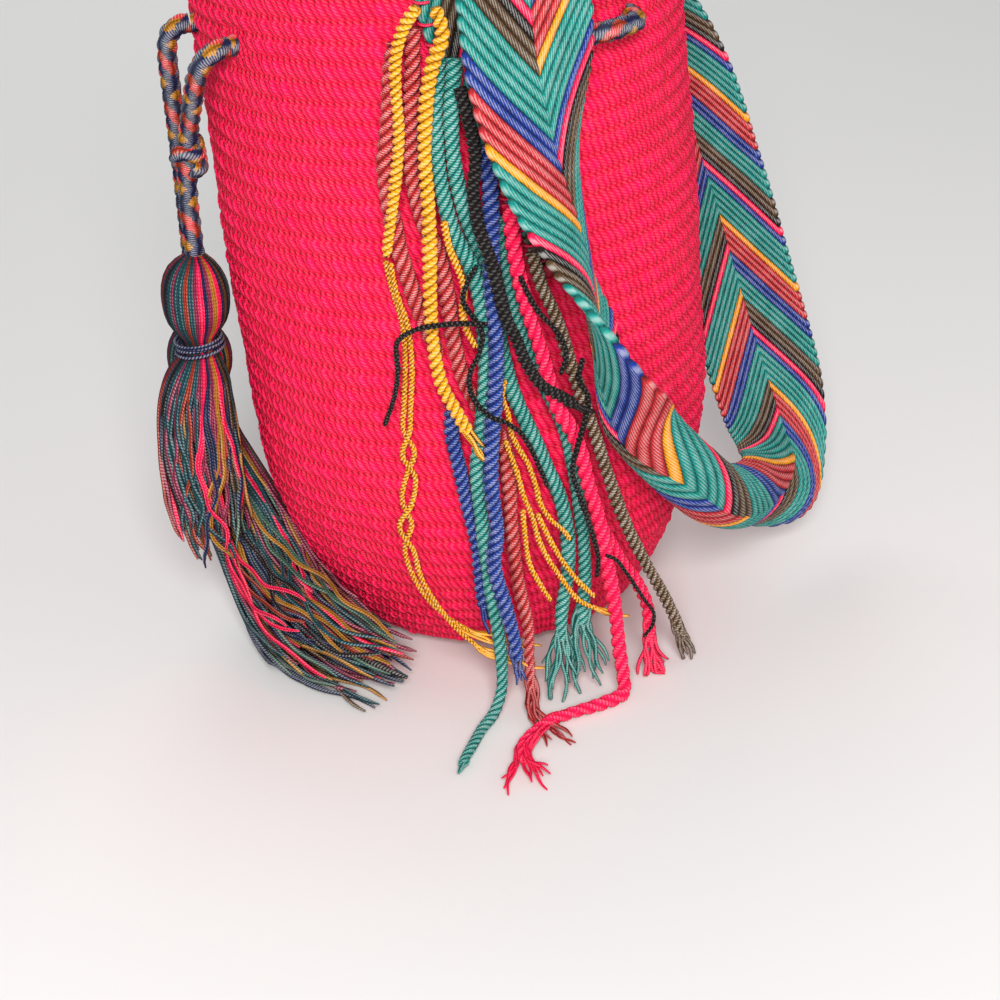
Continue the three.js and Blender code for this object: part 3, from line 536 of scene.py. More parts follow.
def twistedCord(line, thickness, colour, seed, taper=1.0):
    # one cord with its plies in relief, a little uneven along its length
    kind = cordTwistAndShade[colour]
    plies = 2 if thickness < fringe["thin"] else kind["plies"]
    around = fringe["around"] if thickness >= fringe["thin"] else 8
    along = lengthsAlong(line)
    shares = along / along[-1]
    slow, quick = along / (2.3 * thickness) + seed, along / (0.9 * thickness) + 2 * seed
    uneven = 1 + 0.05 * np.sin(slow) + 0.03 * np.sin(quick)
    ends = np.minimum(1, 0.55 + (1 - shares) * along[-1] / thickness)
    fullness = fringe["fullness"].get(colour, fringe["usualFullness"])
    radii = thickness / 2 * fullness * uneven * ends * np.interp(shares, [0, 0.7, 1], [1, 1, taper])
    turning = along * turn * kind["twist"] / thickness
    return tubeMesh(line, radii, plyShape(plies, around, 0.5), turning, plies)


def hangCord(name, node, colour, thickness, points, seed, taper=1.0):
    line = evenly(smoothLine(points), fringe["ringStep"] * max(1, thickness / 0.0035))
    cord = makePiece(name, twistedCord(line, thickness, colour, seed, taper), cordMaterials[colour],
                     [node])
    return line


# Loose yarn ends, where a cord comes apart: how many strands, how far they go and how far they spread
frays = {
    "coralCord2": {"count": 9, "length": 0.02, "spread": 0.006, "back": 0.035, "lean": (0.35, -0.25, 0)},
    "tealCord1": {"count": 4, "length": 0.005, "spread": 0.001, "back": 0.008, "lean": (0, 0, 0)},
    "tealCord2": {"count": 16, "length": 0.02, "spread": 0.009, "back": 0.012, "lean": (-0.1, -0.1, 0)},
    "tealCord3": {"count": 16, "length": 0.018, "spread": 0.008, "back": 0.014, "lean": (0.25, -0.1, 0)},
    "blueCord1": {"count": 5, "length": 0.009, "spread": 0.003, "back": 0.01, "lean": (0, 0, 0)},
    "blueCord2": {"count": 5, "length": 0.008, "spread": 0.003, "back": 0.008, "lean": (0.2, 0, 0)},
    "pinkCord1": {"count": 14, "length": 0.014, "spread": 0.009, "back": 0.05, "lean": (0, 0, 0)},
    "pinkCord2": {"count": 14, "length": 0.014, "spread": 0.006, "back": 0.018, "lean": (0.2, -0.1, 0)},
    "oliveCord1": {"count": 12, "length": 0.01, "spread": 0.004, "back": 0.014, "lean": (0, 0, 0)},
    "yellowStrand1": {"count": 4, "length": 0.016, "spread": 0.004, "back": 0.006, "lean": (0.6, 0, 0)},
    "yellowStrand2": {"count": 4, "length": 0.014, "spread": 0.004, "back": 0.006, "lean": (0.6, 0, 0)},
    "yellowStrand4": {"count": 4, "length": 0.008, "spread": 0.003, "back": 0.004, "lean": (0.3, 0, 0)},
    "yellowCord2": {"count": 5, "length": 0.012, "spread": 0.003, "back": 0.008, "lean": (0.2, 0, 0)},
    "blackCord1": {"count": 4, "length": 0.006, "spread": 0.002, "back": 0.006, "lean": (0.2, 0, 0)},
}
strandLook = {"radius": 0.0006, "around": 5, "step": 0.0014, "floor": 0.0006}


def looseStrand(points, radius, seed, waves=0.0006):  # a single thin yarn, slightly crimped
    line = evenly(smoothLine(points), strandLook["step"])
    along = lengthsAlong(line)
    _, sides, outs = carriedFrames(line)
    sway = np.minimum(1, along / 0.01)[:, None] * waves
    line = line + sides * np.sin(along / 0.0031 + seed)[:, None] * sway
    line = line + outs * np.sin(along / 0.0024 + 3 * seed)[:, None] * sway
    line[:, 2] = np.maximum(line[:, 2], strandLook["floor"])
    radii = radius * np.interp(along / along[-1], [0, 0.85, 1], [1, 1, 0.5])
    return tubeMesh(line, radii, np.ones(strandLook["around"]), along * 0, 2)


def frayEnd(name, line, thickness, colour, look, randoms):
    # strands leave the last stretch of the cord one after another and fall beyond its end
    along = lengthsAlong(line)
    strands = []
    ending = unit(line[-1] - line[-6])
    for index in range(look["count"]):
        leave = np.searchsorted(along, along[-1] - look["back"] * randoms.uniform(0.3, 1))
        halfway = (leave + len(line) - 1) // 2
        angle = randoms.uniform(0, turn)
        outward = np.array([math.cos(angle), 0.5 * math.sin(angle), 0.3 * math.sin(angle)])
        end = line[-1] + (ending + np.array(look["lean"])) * look["length"] * randoms.uniform(0.4, 1)
        end = end + outward * look["spread"] * randoms.uniform(0.4, 1)
        middle = line[-1] + outward * look["spread"] * 0.3
        points = [line[leave], line[halfway] + outward * thickness * 0.45, middle, end]
        strands.append(looseStrand(points, strandLook["radius"], index + 1.0))
    return makePiece(name, joined(strands), cordMaterials[colour])


randoms = np.random.RandomState(4)
for index, entry in enumerate(frontFringe):
    hanging = [onWall(across, height, fringe["gap"] + entry["thickness"] / 2 + layer * fringe["layer"])
               for across, height, layer in entry["route"]]
    points = hanging + entry.get("floor", [])
    name = entry["name"]
    pieces = []
    if name in frays:
        line = evenly(smoothLine(points), fringe["ringStep"])
        pieces = [frayEnd(name + "Ends", line, entry["thickness"], entry["colour"], frays[name], randoms)]
    taper = 0.6 if "floor" in entry else 0.9
    hangCord(name, entry["node"], entry["colour"], entry["thickness"], points, index * 1.7, taper)
print("front fringe hung")

# The fringe behind hangs straighter

backThickness = 0.0035
for index, entry in enumerate(backFringe):
    sway = 0.0005 if index % 2 == 0 else -0.0005
    points = []
    for share in (0, 0.25, 0.5, 0.75, 1):
        across, height = (a + (b - a) * share for a, b in zip(entry["start"], entry["end"]))
        across += sway * math.sin(share * turn)
        points.append(onWall(across, height, fringe["gap"] + backThickness / 2, math.pi))
    number = str(index + 1)
    node = "back_" + entry["colour"] + "_cord_" + number
    line = evenly(smoothLine(points), fringe["ringStep"])
    look = {"count": 5, "length": 0.009, "spread": 0.003, "back": 0.01, "lean": (0, 0, 0)}
    ends = frayEnd("backCordEnds" + number, line, backThickness, entry["colour"], look, randoms)
    hangCord("backCord" + number, node, entry["colour"], backThickness, points, index * 2.1, 0.9)
print("back fringe hung")

# Drawstring: a round braid of mixed yarn, threaded through the eyelets

drawstring = {
    "radius": 0.003,
    "cells": 4,  # strands that show round the braid
    "cellLength": 0.0046,
    "around": 24,
    "ringStep": 0.0006,
    "eyeletHeight": 0.203,
    "outside": [(12, 30), (78, 98), (138, 156), (205, 225)],  # degrees round the mouth from the front
    "firstEnd": -71,
    "secondEnd": 262,
    "insideLift": -0.008,
    "outsideLift": 0.0038,
    "endLift": -0.0008,
    "crossing": 3.6,
    "span": 14,
    "leftStrands": ["slate", "rust", "navy", "mustard"],
    "rightStrands": ["navy", "slate", "coral", "slate"],
}
drawstringEnds = {
    "drawstringEnd1": [
        (-0.0705, -0.0243, 0.203, 0.003), (-0.074, -0.0254, 0.2027, 0.003),
        (-0.0777, -0.0248, 0.2002, 0.003), (-0.0798, -0.0208, 0.1945, 0.003),
        (-0.0806, -0.0135, 0.186, 0.003), (-0.0815, -0.006, 0.1768, 0.003),
        (-0.0819, -0.004, 0.173, 0.0034), (-0.0823, -0.0026, 0.1685, 0.0036),
        (-0.0829, -0.0008, 0.1634, 0.0034), (-0.0833, 0.0005, 0.1594, 0.003),
        (-0.084, 0.0015, 0.15, 0.003), (-0.0843, 0.0012, 0.143, 0.003), (-0.0846, 0.001, 0.136, 0.003),
        (-0.0856, 0.001, 0.13, 0.003), (-0.0864, 0.0012, 0.121, 0.003),  # on into the tassel's head
    ],
    "drawstringEnd2": [
        (-0.0739, 0.0104, 0.203, 0.003), (-0.0773, 0.0109, 0.2027, 0.003), (-0.0802, 0.012, 0.2, 0.003),
        (-0.0812, 0.0145, 0.194, 0.003), (-0.081, 0.019, 0.18, 0.003), (-0.0808, 0.024, 0.158, 0.003),
        (-0.0814, 0.028, 0.13, 0.003), (-0.0825, 0.029, 0.1036, 0.003),
        (-0.083, 0.029, 0.1006, 0.003), (-0.084, 0.029, 0.09, 0.003), (-0.0845, 0.029, 0.081, 0.003),
        (-0.0848, 0.029, 0.0738, 0.003),
    ],
}


def mouthRoute(look):
    # in and out of the eyelets, round the mouth from one end to the other
    turns = [(look["firstEnd"], look["endLift"], look["insideLift"])]
    for start, end in look["outside"]:
        turns.append((start, look["insideLift"], look["outsideLift"]))
        turns.append((end, look["outsideLift"], look["insideLift"]))
    turns.append((look["secondEnd"], look["insideLift"], look["endLift"]))
    cross = look["crossing"]
    route = [(look["firstEnd"], look["endLift"]), (look["firstEnd"], look["insideLift"] / 2),
             (look["firstEnd"] + cross, look["insideLift"])]
    for (last, _, _), (angle, before, after) in zip(turns, turns[1:]):
        spans = max(1, round((angle - last - 2 * cross) / look["span"]))
        for share in range(1, spans + 1):
            route.append((last + cross + (angle - last - 2 * cross) * share / spans, before))
        if angle != look["secondEnd"]:
            route += [(angle, (before + after) / 2), (angle + cross, after)]
    route += [(look["secondEnd"], look["insideLift"] / 2), (look["secondEnd"], look["endLift"])]
    wall = fringe["wallRadius"]
    return [onWall(math.radians(angle) * wall, look["eyeletHeight"], lift) for angle, lift in route]


def braid(line, look, size=1.0):
    # strands cross in two directions; each crossing is a little cushion in the colour of the strand on top
    line = evenly(line, look["ringStep"])
    radii = line[:, 3] if line.shape[1] > 3 else np.full(len(line), look["radius"])
    line = line[:, :3]
    along = lengthsAlong(line)
    around = look["around"]
    share = np.arange(around) / around * look["cells"]
    climb = along / look["cellLength"] / size
    left = share[None, :] + climb[:, None]
    right = share[None, :] - climb[:, None]
    cushion = np.sqrt(np.abs(np.sin(math.pi * left) * np.sin(math.pi * right)))
    mesh = tubeMesh(line, radii * size, np.ones(around), along * 0, look["cells"])
    points, faces, surfaceMap = mesh
    ringPoints = points[:len(line) * around].reshape(len(line), around, 3)
    spokes = ringPoints - line[:, None]
    points[:len(line) * around] = (line[:, None] + spokes * (0.8 + 0.26 * cushion)[..., None]).reshape(-1, 3)
    rings, steps = np.meshgrid(np.arange(len(line) - 1), np.arange(around), indexing="ij")
    middleShare = (steps.ravel() + 0.5) / around * look["cells"]
    middleClimb = (climb[rings.ravel()] + climb[rings.ravel() + 1]) / 2
    leftCell = np.floor(middleShare + middleClimb).astype(int)
    rightCell = np.floor(middleShare - middleClimb).astype(int)
    leftColours = np.array([yarns[name] for name in look["leftStrands"]])[leftCell % look["cells"]]
    rightColours = np.array([yarns[name] for name in look["rightStrands"]])[rightCell % look["cells"]]
    onTop = ((leftCell + rightCell) % 2 == 0)[:, None]
    colours = np.where(onTop, leftColours, rightColours)
    ends = np.tile(yarns["slate"], (2 * around, 1))
    return (points, faces, surfaceMap), np.vstack([colours, ends])


braidMaterial = yarnMaterial("braidedYarn", marks=1.6, grooveShade=0.7, crownHighlight=0.25, bump=0.35)
mouthMesh, mouthColours = braid(smoothLine(mouthRoute(drawstring)), drawstring)
makePiece("drawstringRoundMouth", mouthMesh, braidMaterial, ["drawstring_round_mouth"],
          mouthColours)

# Loose knot in the first end: the braid passes once round itself

knot = {"height": 0.1675, "loop": 0.0031, "pull": 0.0068, "size": 0.86}


def knotLine(look, route):
    line = smoothLine(route)[:, :3]
    middle = line[np.argmin(np.abs(line[:, 2] - look["height"]))]
    angles = np.linspace(-0.25, 1.2, 40) * turn
    rise = np.linspace(-0.5, 0.5, 40) * look["pull"]
    return np.stack([middle[0] + look["loop"] * np.cos(angles), middle[1] + look["loop"] * np.sin(angles),
                     middle[2] + rise + 0.0012 * np.sin(2 * angles)], axis=1)


knotMesh, knotColours = braid(knotLine(knot, drawstringEnds["drawstringEnd1"]), drawstring, knot["size"])
knotPiece = makePiece("drawstringKnot", knotMesh, braidMaterial, [], knotColours)
print("drawstring threaded")

# Tassels: cut yarn folded over the cord, tied round the neck

tasselLook = {
    "outer": 84,  # strands on the outside of the head and skirt
    "inner": 84,  # strands that show only in the skirt
    "radius": 0.00066,
    "step": 0.0023,
    "around": 5,
    "colours": ["plum", "pink", "navy", "deepTeal", "sage", "rust", "mustard", "slate", "core", "olive"],
    "weights": [0.15, 0.1, 0.16, 0.15, 0.08, 0.12, 0.09, 0.05, 0.05, 0.05],
}
tassels = {
    "tassel1": {"node": "tassel_1", "seed": 11, "neck": 0.37, "spread": 0.5, "stations": [
        (-0.0847, 0.001, 0.1354, 0.0035), (-0.085, 0.001, 0.133, 0.007), (-0.086, 0.001, 0.128, 0.0099),
        (-0.0864, 0.0012, 0.121, 0.0106), (-0.087, 0.0016, 0.1136, 0.009),
        (-0.0872, 0.0018, 0.1092, 0.0054), (-0.0874, 0.002, 0.1036, 0.0054),
        (-0.0886, 0.0024, 0.098, 0.0092), (-0.091, 0.003, 0.088, 0.0118), (-0.0924, 0.0034, 0.072, 0.0126),
        (-0.0928, 0.0036, 0.056, 0.0118), (-0.092, 0.003, 0.043, 0.0105), (-0.0906, 0.002, 0.032, 0.009),
    ]},
    "tassel2": {"node": "tassel_2", "seed": 23, "neck": 0.29, "spread": 1.5, "stations": [
        (-0.0826, 0.029, 0.103, 0.0035), (-0.083, 0.029, 0.1006, 0.007), (-0.0836, 0.029, 0.096, 0.0099),
        (-0.084, 0.029, 0.09, 0.0106), (-0.0844, 0.029, 0.0836, 0.009), (-0.0846, 0.029, 0.0794, 0.0054),
        (-0.0848, 0.029, 0.0738, 0.0054), (-0.085, 0.0294, 0.068, 0.009), (-0.0846, 0.0296, 0.058, 0.0115),
        (-0.0814, 0.028, 0.045, 0.013), (-0.077, 0.021, 0.031, 0.0136), (-0.074, 0.009, 0.019, 0.0136),
        (-0.072, -0.007, 0.0132, 0.0128), (-0.0684, -0.023, 0.0115, 0.0118),
        (-0.0624, -0.037, 0.0095, 0.0105), (-0.0546, -0.049, 0.0075, 0.0095), (-0.0486, -0.056, 0.006, 0.009),
    ]},
}
ties = {
    "tassel1Tie": {"node": "tassel_1_tie", "middle": (-0.0873, 0.0019, 0.1064), "colour": "navy"},
    "tassel2Tie": {"node": "tassel_2_tie", "middle": (-0.0847, 0.029, 0.0766), "colour": "rust"},
}


def tasselMesh(kind, look):
    chance = np.random.RandomState(kind["seed"])
    line = evenly(smoothLine(kind["stations"]), look["step"])
    middle, reach = line[:, :3], line[:, 3]
    _, sides, outs = carriedFrames(middle)
    shares = np.linspace(0, 1, len(line))
    meshes, colours = [], []
    thinning = np.interp(shares, [0, kind["neck"], 0.75, 1], [1, 1, 0.6, 0.05])
    # a near-black tube inside the strands, a dark fill that stands in for the shade between them
    core = tubeMesh(middle, reach * 0.8 * thinning, np.ones(12), shares * 0, 2)
    meshes.append(core)
    colours.append(np.tile(yarns["core"], (len(core[1]), 1)))
    names = chance.choice(look["colours"], (look["outer"] + look["inner"]) // 2 + 1, p=look["weights"])
    for index in range(look["outer"] + look["inner"]):
        outer = index < look["outer"]
        number = index if outer else index - look["outer"]
        total = look["outer"] if outer else look["inner"]
        angle = number * turn / total + chance.uniform(-0.3, 0.3) * turn / total
        depth = 1.0 if outer else chance.uniform(0.35, 0.85)
        first = 0 if outer else int(len(line) * kind["neck"])
        last = int(len(line) * chance.uniform(0.78, 1.0))
        stretch = np.arange(first, last)
        loose = np.clip((shares[stretch] - kind["neck"]) / (1 - kind["neck"]), 0, 1)
        phase = chance.uniform(0, turn)
        swing = loose * (0.45 * np.sin(7 * loose + phase) + 0.12 * np.sin(25 * loose + 2 * phase))
        bearing = angle + swing * 0.9 + chance.uniform(-0.5, 0.5) * loose
        spread = chance.uniform(-0.35, kind["spread"])
        out = depth * (reach[stretch] - look["radius"]) * (1 + loose ** 2 * spread)
        place = middle[stretch] + sides[stretch] * (out * np.cos(bearing))[:, None]
        place = place + outs[stretch] * (out * np.sin(bearing))[:, None]
        place[:, 2] = np.maximum(place[:, 2], look["radius"] + chance.uniform(0.0002, 0.0025))
        place = unwrinkled(place)
        last = len(place) - 1
        radii = look["radius"] * np.interp(np.arange(len(place)), [0, last - 2, last], [1, 1, 0.45])
        strand = tubeMesh(place, radii, np.ones(look["around"]), np.zeros(len(place)), 2)
        meshes.append(strand)
        colours.append(np.tile(yarns[names[index // 2]], (len(strand[1]), 1)))
    return joined(meshes), np.vstack(colours)


def unwrinkled(line):  # each point eased towards its neighbours
    eased = line.copy()
    eased[1:-1] = (line[:-2] + 2 * line[1:-1] + line[2:]) / 4
    return eased


def tieMesh(middle, wraps=4, inner=0.0064, thread=0.00062):
    # thread wound round the neck, a little untidily
    angles = np.linspace(0, wraps * turn, wraps * 30)
    radius = inner + thread + 0.0005 * np.sin(angles * 0.37)
    height = middle[2] + np.linspace(-1, 1, len(angles)) * 0.0021 + 0.0003 * np.sin(angles * 1.3)
    east, north = middle[0] + radius * np.cos(angles), middle[1] + radius * np.sin(angles)
    line = np.stack([east, north, height], axis=1)
    return tubeMesh(line, np.full(len(line), thread), np.ones(6), angles * 0, 2)


tasselMaterial = yarnMaterial("tasselYarn", marks=0.9, grooveShade=0.75, crownHighlight=0.22, bump=0.3)
for name, kind in tassels.items():
    mesh, colours = tasselMesh(kind, tasselLook)
    makePiece(name, mesh, tasselMaterial, [kind["node"]], colours)
for name, kind in ties.items():
    mesh = tieMesh(kind["middle"])
    colours = np.tile(yarns[kind["colour"]], (len(mesh[1]), 1))
    makePiece(name, mesh, tasselMaterial, [kind["node"]], colours)

for number, (name, route) in enumerate(drawstringEnds.items(), 1):
    line = smoothLine(route)
    mesh, colours = braid(line, drawstring)
    node = "drawstring_end_" + str(number)
    cord = makePiece(name, mesh, braidMaterial, [node], colours)
print("tassels tied")

# Strap: a band of twisted cords woven slantwise from both edges to the middle

strap = {
    "thickness": 0.0026,
    "ribPitch": 0.0033,  # along the band
    # distances along the band, and how far the weave is stretched there
    "stretch": [(0, 1.42), (0.29, 1.42), (0.31, 2.1), (0.37, 2.1), (0.385, 1.6), (0.44, 1.6), (0.455, 1),
                (0.86, 1)],
    "ribHeight": 0.0006,
    "rowsPerRib": 4,
    "columns": 13,  # from the middle to each edge
    "slant": 1.65,  # how far a rib runs back for its way across
    "start": 14,  # rib that the colours begin with
    "left": ["teal"] * 4 + ["blue"] * 2 + ["coral"] * 3 + ["yellow"] + ["teal"] * 4 + ["pink", "black"]
            + ["olive"] * 2,
    "right": ["teal"] * 4 + ["blue", "pink", "black"] + ["olive"] * 2 + ["teal"] * 3 + ["blue"] * 2
             + ["coral"] * 3 + ["yellow"],
}
strapPalette = {
    "teal": (10, 134, 124), "blue": (14, 50, 134), "coral": (186, 38, 44), "yellow": (236, 150, 6),
    "pink": (244, 16, 78), "black": (15, 11, 8), "olive": (80, 56, 28),
}
# Middle of the band, the way it faces across, its width and its curl in degrees.
# The seven stations from height 0.176 down to 0.0323 come from a fitting script and were not chosen
# by hand. They remain an open fault.
strapStations = [
    ((0.002, -0.0776, 0.137), (1, 0.03, 0), 0.005, -4),
    ((0, -0.0776, 0.16), (1, 0, 0), 0.016, -12),
    ((-0.005, -0.0775, 0.19), (1, -0.06, 0), 0.027, -20),
    ((-0.009, -0.0774, 0.218), (1, -0.1, 0), 0.036, -26),
    ((-0.009, -0.078, 0.236), (1, -0.1, 0), 0.036, -20),
    ((-0.008, -0.081, 0.249), (1, -0.05, 0), 0.036, -8),
    ((-0.006, -0.089, 0.257), (1, 0, 0), 0.036, 0),
    ((-0.005, -0.098, 0.25), (1, 0, 0), 0.036, 8),
    ((-0.0045, -0.098, 0.232), (1, 0, 0), 0.036, 20),
    ((-0.003, -0.095, 0.205), (1, 0.08, 0), 0.036, 40),
    ((0.0005, -0.094, 0.176), (0.8, 0.58, 0.09), 0.036, 58),
    ((0.0058, -0.0945, 0.15), (0.48, 0.88, 0.02), 0.036, 50),
    ((0.0078, -0.0979, 0.1206), (0.19, 0.98, 0.04), 0.036, -95),
    ((0.015, -0.0944, 0.0896), (-0.54, 0.83, -0.14), 0.036, -213),
    ((0.0375, -0.0886, 0.0662), (-0.81, 0.21, -0.55), 0.036, -236),
    ((0.058, -0.0705, 0.0443), (-0.7, 0.17, -0.7), 0.036, -237),
    ((0.0792, -0.0489, 0.0323), (-0.36, 0.09, -0.93), 0.036, -204),
    ((0.097, -0.029, 0.0325), (0.56, -0.34, -0.74), 0.036, -110),
    ((0.1025, -0.01, 0.038), (0.85, -0.25, -0.4), 0.036, -40),
    ((0.1035, 0.006, 0.0555), (0.9, -0.35, -0.1), 0.036, 0),
    ((0.1015, 0.02, 0.084), (0.85, -0.5, 0), 0.036, 0),
    ((0.0985, 0.034, 0.116), (0.85, -0.5, 0), 0.036, 0),
    ((0.092, 0.052, 0.155), (0.88, -0.45, 0), 0.036, 0),
    ((0.068, 0.076, 0.198), (0.95, -0.3, 0), 0.036, 0),
    ((0.038, 0.092, 0.23), (1, -0.1, 0), 0.036, 0),
    ((0.014, 0.098, 0.25), (1, 0, 0), 0.036, 0),
    ((0.004, 0.09, 0.258), (1, 0.05, 0), 0.036, 0),
    ((0, 0.082, 0.25), (1, 0.03, 0), 0.036, -8),
    ((0, 0.0784, 0.236), (1, 0, 0), 0.036, -20),
    ((0, 0.0774, 0.218), (1, 0, 0), 0.036, -26),
    ((0, 0.0775, 0.19), (1, 0, 0), 0.027, -20),
    ((0, 0.0776, 0.16), (1, 0, 0), 0.016, -12),
    ((0, 0.0776, 0.137), (1, 0, 0), 0.005, -4),
]


def strapTable():
    places = smoothLine([at for at, _, _, _ in strapStations])
    across = smoothLine([across for _, across, _, _ in strapStations])
    sizes = smoothLine([(width / mm, curl, 0) for _, _, width, curl in strapStations])
    return evenly(np.hstack([places, across, sizes[:, :2] * [mm, math.pi / 180]]), 0.001)


def strapFrame(table, along):
    # middle, across, face, width and curl at each distance along the band
    known = lengthsAlong(table)
    tangents = unit(np.gradient(table[:, :3], axis=0))
    columns = np.hstack([table, tangents])
    found = np.stack([np.interp(along, known, column) for column in columns.T], axis=-1)
    middle, across, width, curl, tangent = (found[..., 0:3], found[..., 3:6], found[..., 6], found[..., 7],
                                            unit(found[..., 8:11]))
    across = unit(across - tangent * (across * tangent).sum(-1, keepdims=True))
    return middle, across, unit(np.cross(tangent, across)), width, curl


def strapPoint(frames, share, lift):
    # a point of the band: share runs from -1 at the left edge to 1 at the right, lift is out of its face
    middle, across, face, width, curl = frames
    curl = np.where(np.abs(curl) < 1e-4, 1e-4, curl)
    angle = curl * share / 2
    outward = face * np.cos(angle)[..., None] + across * np.sin(angle)[..., None]
    sideways = (width / curl * np.sin(angle))[..., None]
    depth = (width / curl * (np.cos(angle) - 1))[..., None]
    return middle + across * sideways + face * depth + outward * lift[..., None]


def strapMesh(look):
    table = strapTable()
    length = lengthsAlong(table)[-1]
    travel = [0.0]
    while travel[-1] < length:
        stretched = np.interp(travel[-1], *zip(*look["stretch"]))
        travel.append(travel[-1] + look["ribPitch"] / look["rowsPerRib"] * stretched)
    rows, travel = len(travel) - 1, np.array(travel)
    half = np.linspace(-1, 1, 2 * look["columns"] + 1)
    widest = max(width for _, _, width, _ in strapStations)
    # going round the band: near face left to right, the right edge, far face right to left, the left edge
    shares = np.concatenate([half, [1.0], half[::-1], [-1.0]])
    sideOut = np.concatenate([np.ones(len(half)), [0], -np.ones(len(half)), [0]])
    fadeIn = np.minimum(1, travel / (widest / 2 * look["slant"] * 1.4))
    local = np.interp(travel, lengthsAlong(table), table[:, 6])
    back = look["slant"] * local / 2 * fadeIn
    along = travel[:, None] - back[:, None] * np.abs(shares)[None, :]
    frames = strapFrame(table, np.clip(along, 0, length))
    rib = np.abs(np.sin(math.pi * np.arange(rows + 1) / look["rowsPerRib"])) ** 0.6
    edge = 1 - 0.35 * np.abs(shares) ** 6
    lift = (look["thickness"] / 2 * edge[None, :] + look["ribHeight"] * rib[:, None]) * sideOut[None, :]
    scallop = 1 + 0.035 * (rib[:, None] - 0.3) * np.abs(shares)[None, :] ** 8
    bulge = np.where(sideOut == 0, 1.045, 1.0)[None, :]
    points = strapPoint(frames, shares[None, :] * scallop * bulge, lift)
    around = len(shares)
    ring, column = (grid.ravel() for grid in np.meshgrid(np.arange(rows), np.arange(around), indexing="ij"))
    following = (column + 1) % around
    quads = np.stack([ring * around + column, (ring + 1) * around + column, (ring + 1) * around + following,
                      ring * around + following], axis=1)
    ribShare = ring / look["rowsPerRib"]
    ribNext = (ring + 1) / look["rowsPerRib"]
    slanted = np.abs(shares) * widest / 2 * math.sqrt(2) / mm
    here, there = slanted[column], slanted[following]
    there = np.where(shares[following] * shares[column] < 0, -there, there)
    surfaceMap = np.stack([ribShare, here, ribNext, here, ribNext, there, ribShare, there], axis=1)
    surfaceMap = surfaceMap.reshape(-1, 2)
    number = (ring // look["rowsPerRib"] + look["start"]) % len(look["left"])
    onLeft = shares[column] + shares[following] < 0
    palette = {name: linear(colour) for name, colour in strapPalette.items()}
    leftColours = np.array([palette[name] for name in look["left"]])[number]
    rightColours = np.array([palette[name] for name in look["right"]])[number]
    colours = np.where(onLeft[:, None], leftColours, rightColours)
    flat = points.reshape(-1, 3)
    flat = np.vstack([flat, points[0].mean(axis=0), points[-1].mean(axis=0)])
    steps = np.arange(around)
    nextSteps = (steps + 1) % around
    last = rows * around
    first = np.stack([np.full(around, len(flat) - 2), steps, nextSteps], axis=1)
    final = np.stack([np.full(around, len(flat) - 1), last + nextSteps, last + steps], axis=1)
    surfaceMap = np.vstack([surfaceMap, np.zeros((around * 6, 2)) + 0.5])
    colours = np.vstack([colours, np.tile(palette["teal"], (2 * around, 1))])
    return (flat, quads.tolist() + first.tolist() + final.tolist(), surfaceMap), colours


strapMaterial = yarnMaterial("wovenStrap", marks=0.85, grooveShade=0.85, crownHighlight=0.22, bump=0.5)
mesh, colours = strapMesh(strap)
makePiece("strap", mesh, strapMaterial, ["strap"], colours)
print("strap woven")

# Sewing: thread that holds the strap's pointed ends to the wall

sewing = {"pitch": 0.0052, "thread": 0.00045, "inside": 0.0028, "beyond": 0.0016, "low": 0.142, "high": 0.228}


def sewingStitches(look, side):
    table = strapTable()
    known = lengthsAlong(table)
    sewn = (np.sign(table[:, 1]) == side) & (np.hypot(table[:, 0], table[:, 1]) < 0.0795)
    sewn &= (table[:, 2] > look["low"]) & (table[:, 2] < look["high"])
    distances = np.arange(known[sewn].min(), known[sewn].max(), look["pitch"])
    frames = strapFrame(table, distances)
    width = frames[3]
    outside = np.sign(frames[2][0][1]) == side  # whether the near face looks away from the bag
    lift = (strap["thickness"] / 2 + strap["ribHeight"]) * (1 if outside else -1)
    stitches = []
    for edge in (-1, 1):
        stations = []
        for reach, height in ((-look["inside"], 1), (-look["inside"] / 2, 1.35), (0.0002, 0.9),
                              (look["beyond"], -0.7)):
            share = edge * (1 + 2 * reach / width)
            stations.append(strapPoint(frames, share, np.full(len(distances), lift * height)))
        for route in np.stack(stations, axis=1):
            line = evenly(smoothLine(route, 6), 0.0007)
            radii, turned = np.full(len(line), look["thread"]), np.zeros(len(line))
            stitches.append(tubeMesh(line, radii, np.ones(6), turned, 2))
    return joined(stitches)


for name, side in (("sewingFront", -1), ("sewingBack", 1)):
    makePiece(name, sewingStitches(sewing, side), cordMaterials["pink"])
print("strap sewn on")

# Bag: crocheted in rounds from the middle of the base to the rim

crochet = {
    "rowPitch": 0.0057,
    "wideRow": (0.1725, 0.1765, 0.0082),  # a row that begins between these heights is this much wider
    "stitches": 104,
    "perStitch": 4,
    "perRow": 4,
    "relief": 0.0017,
    "lean": 0.35,  # stitches that each one leans over in the height of its row
    "wall": 0.0036,
    "eyeletReach": 0.0046,
    "eyeletDepth": 0.0022,
    "outline": [
        (0.035, 0), (0.046, 0.0035), (0.054, 0.013), (0.061, 0.025), (0.067, 0.039), (0.072, 0.055),
        (0.0745, 0.072), (0.075, 0.095), (0.075, 0.13), (0.075, 0.17), (0.075, 0.198), (0.075, 0.208),
        (0.0745, 0.2285), (0.073, 0.23),
    ],
}


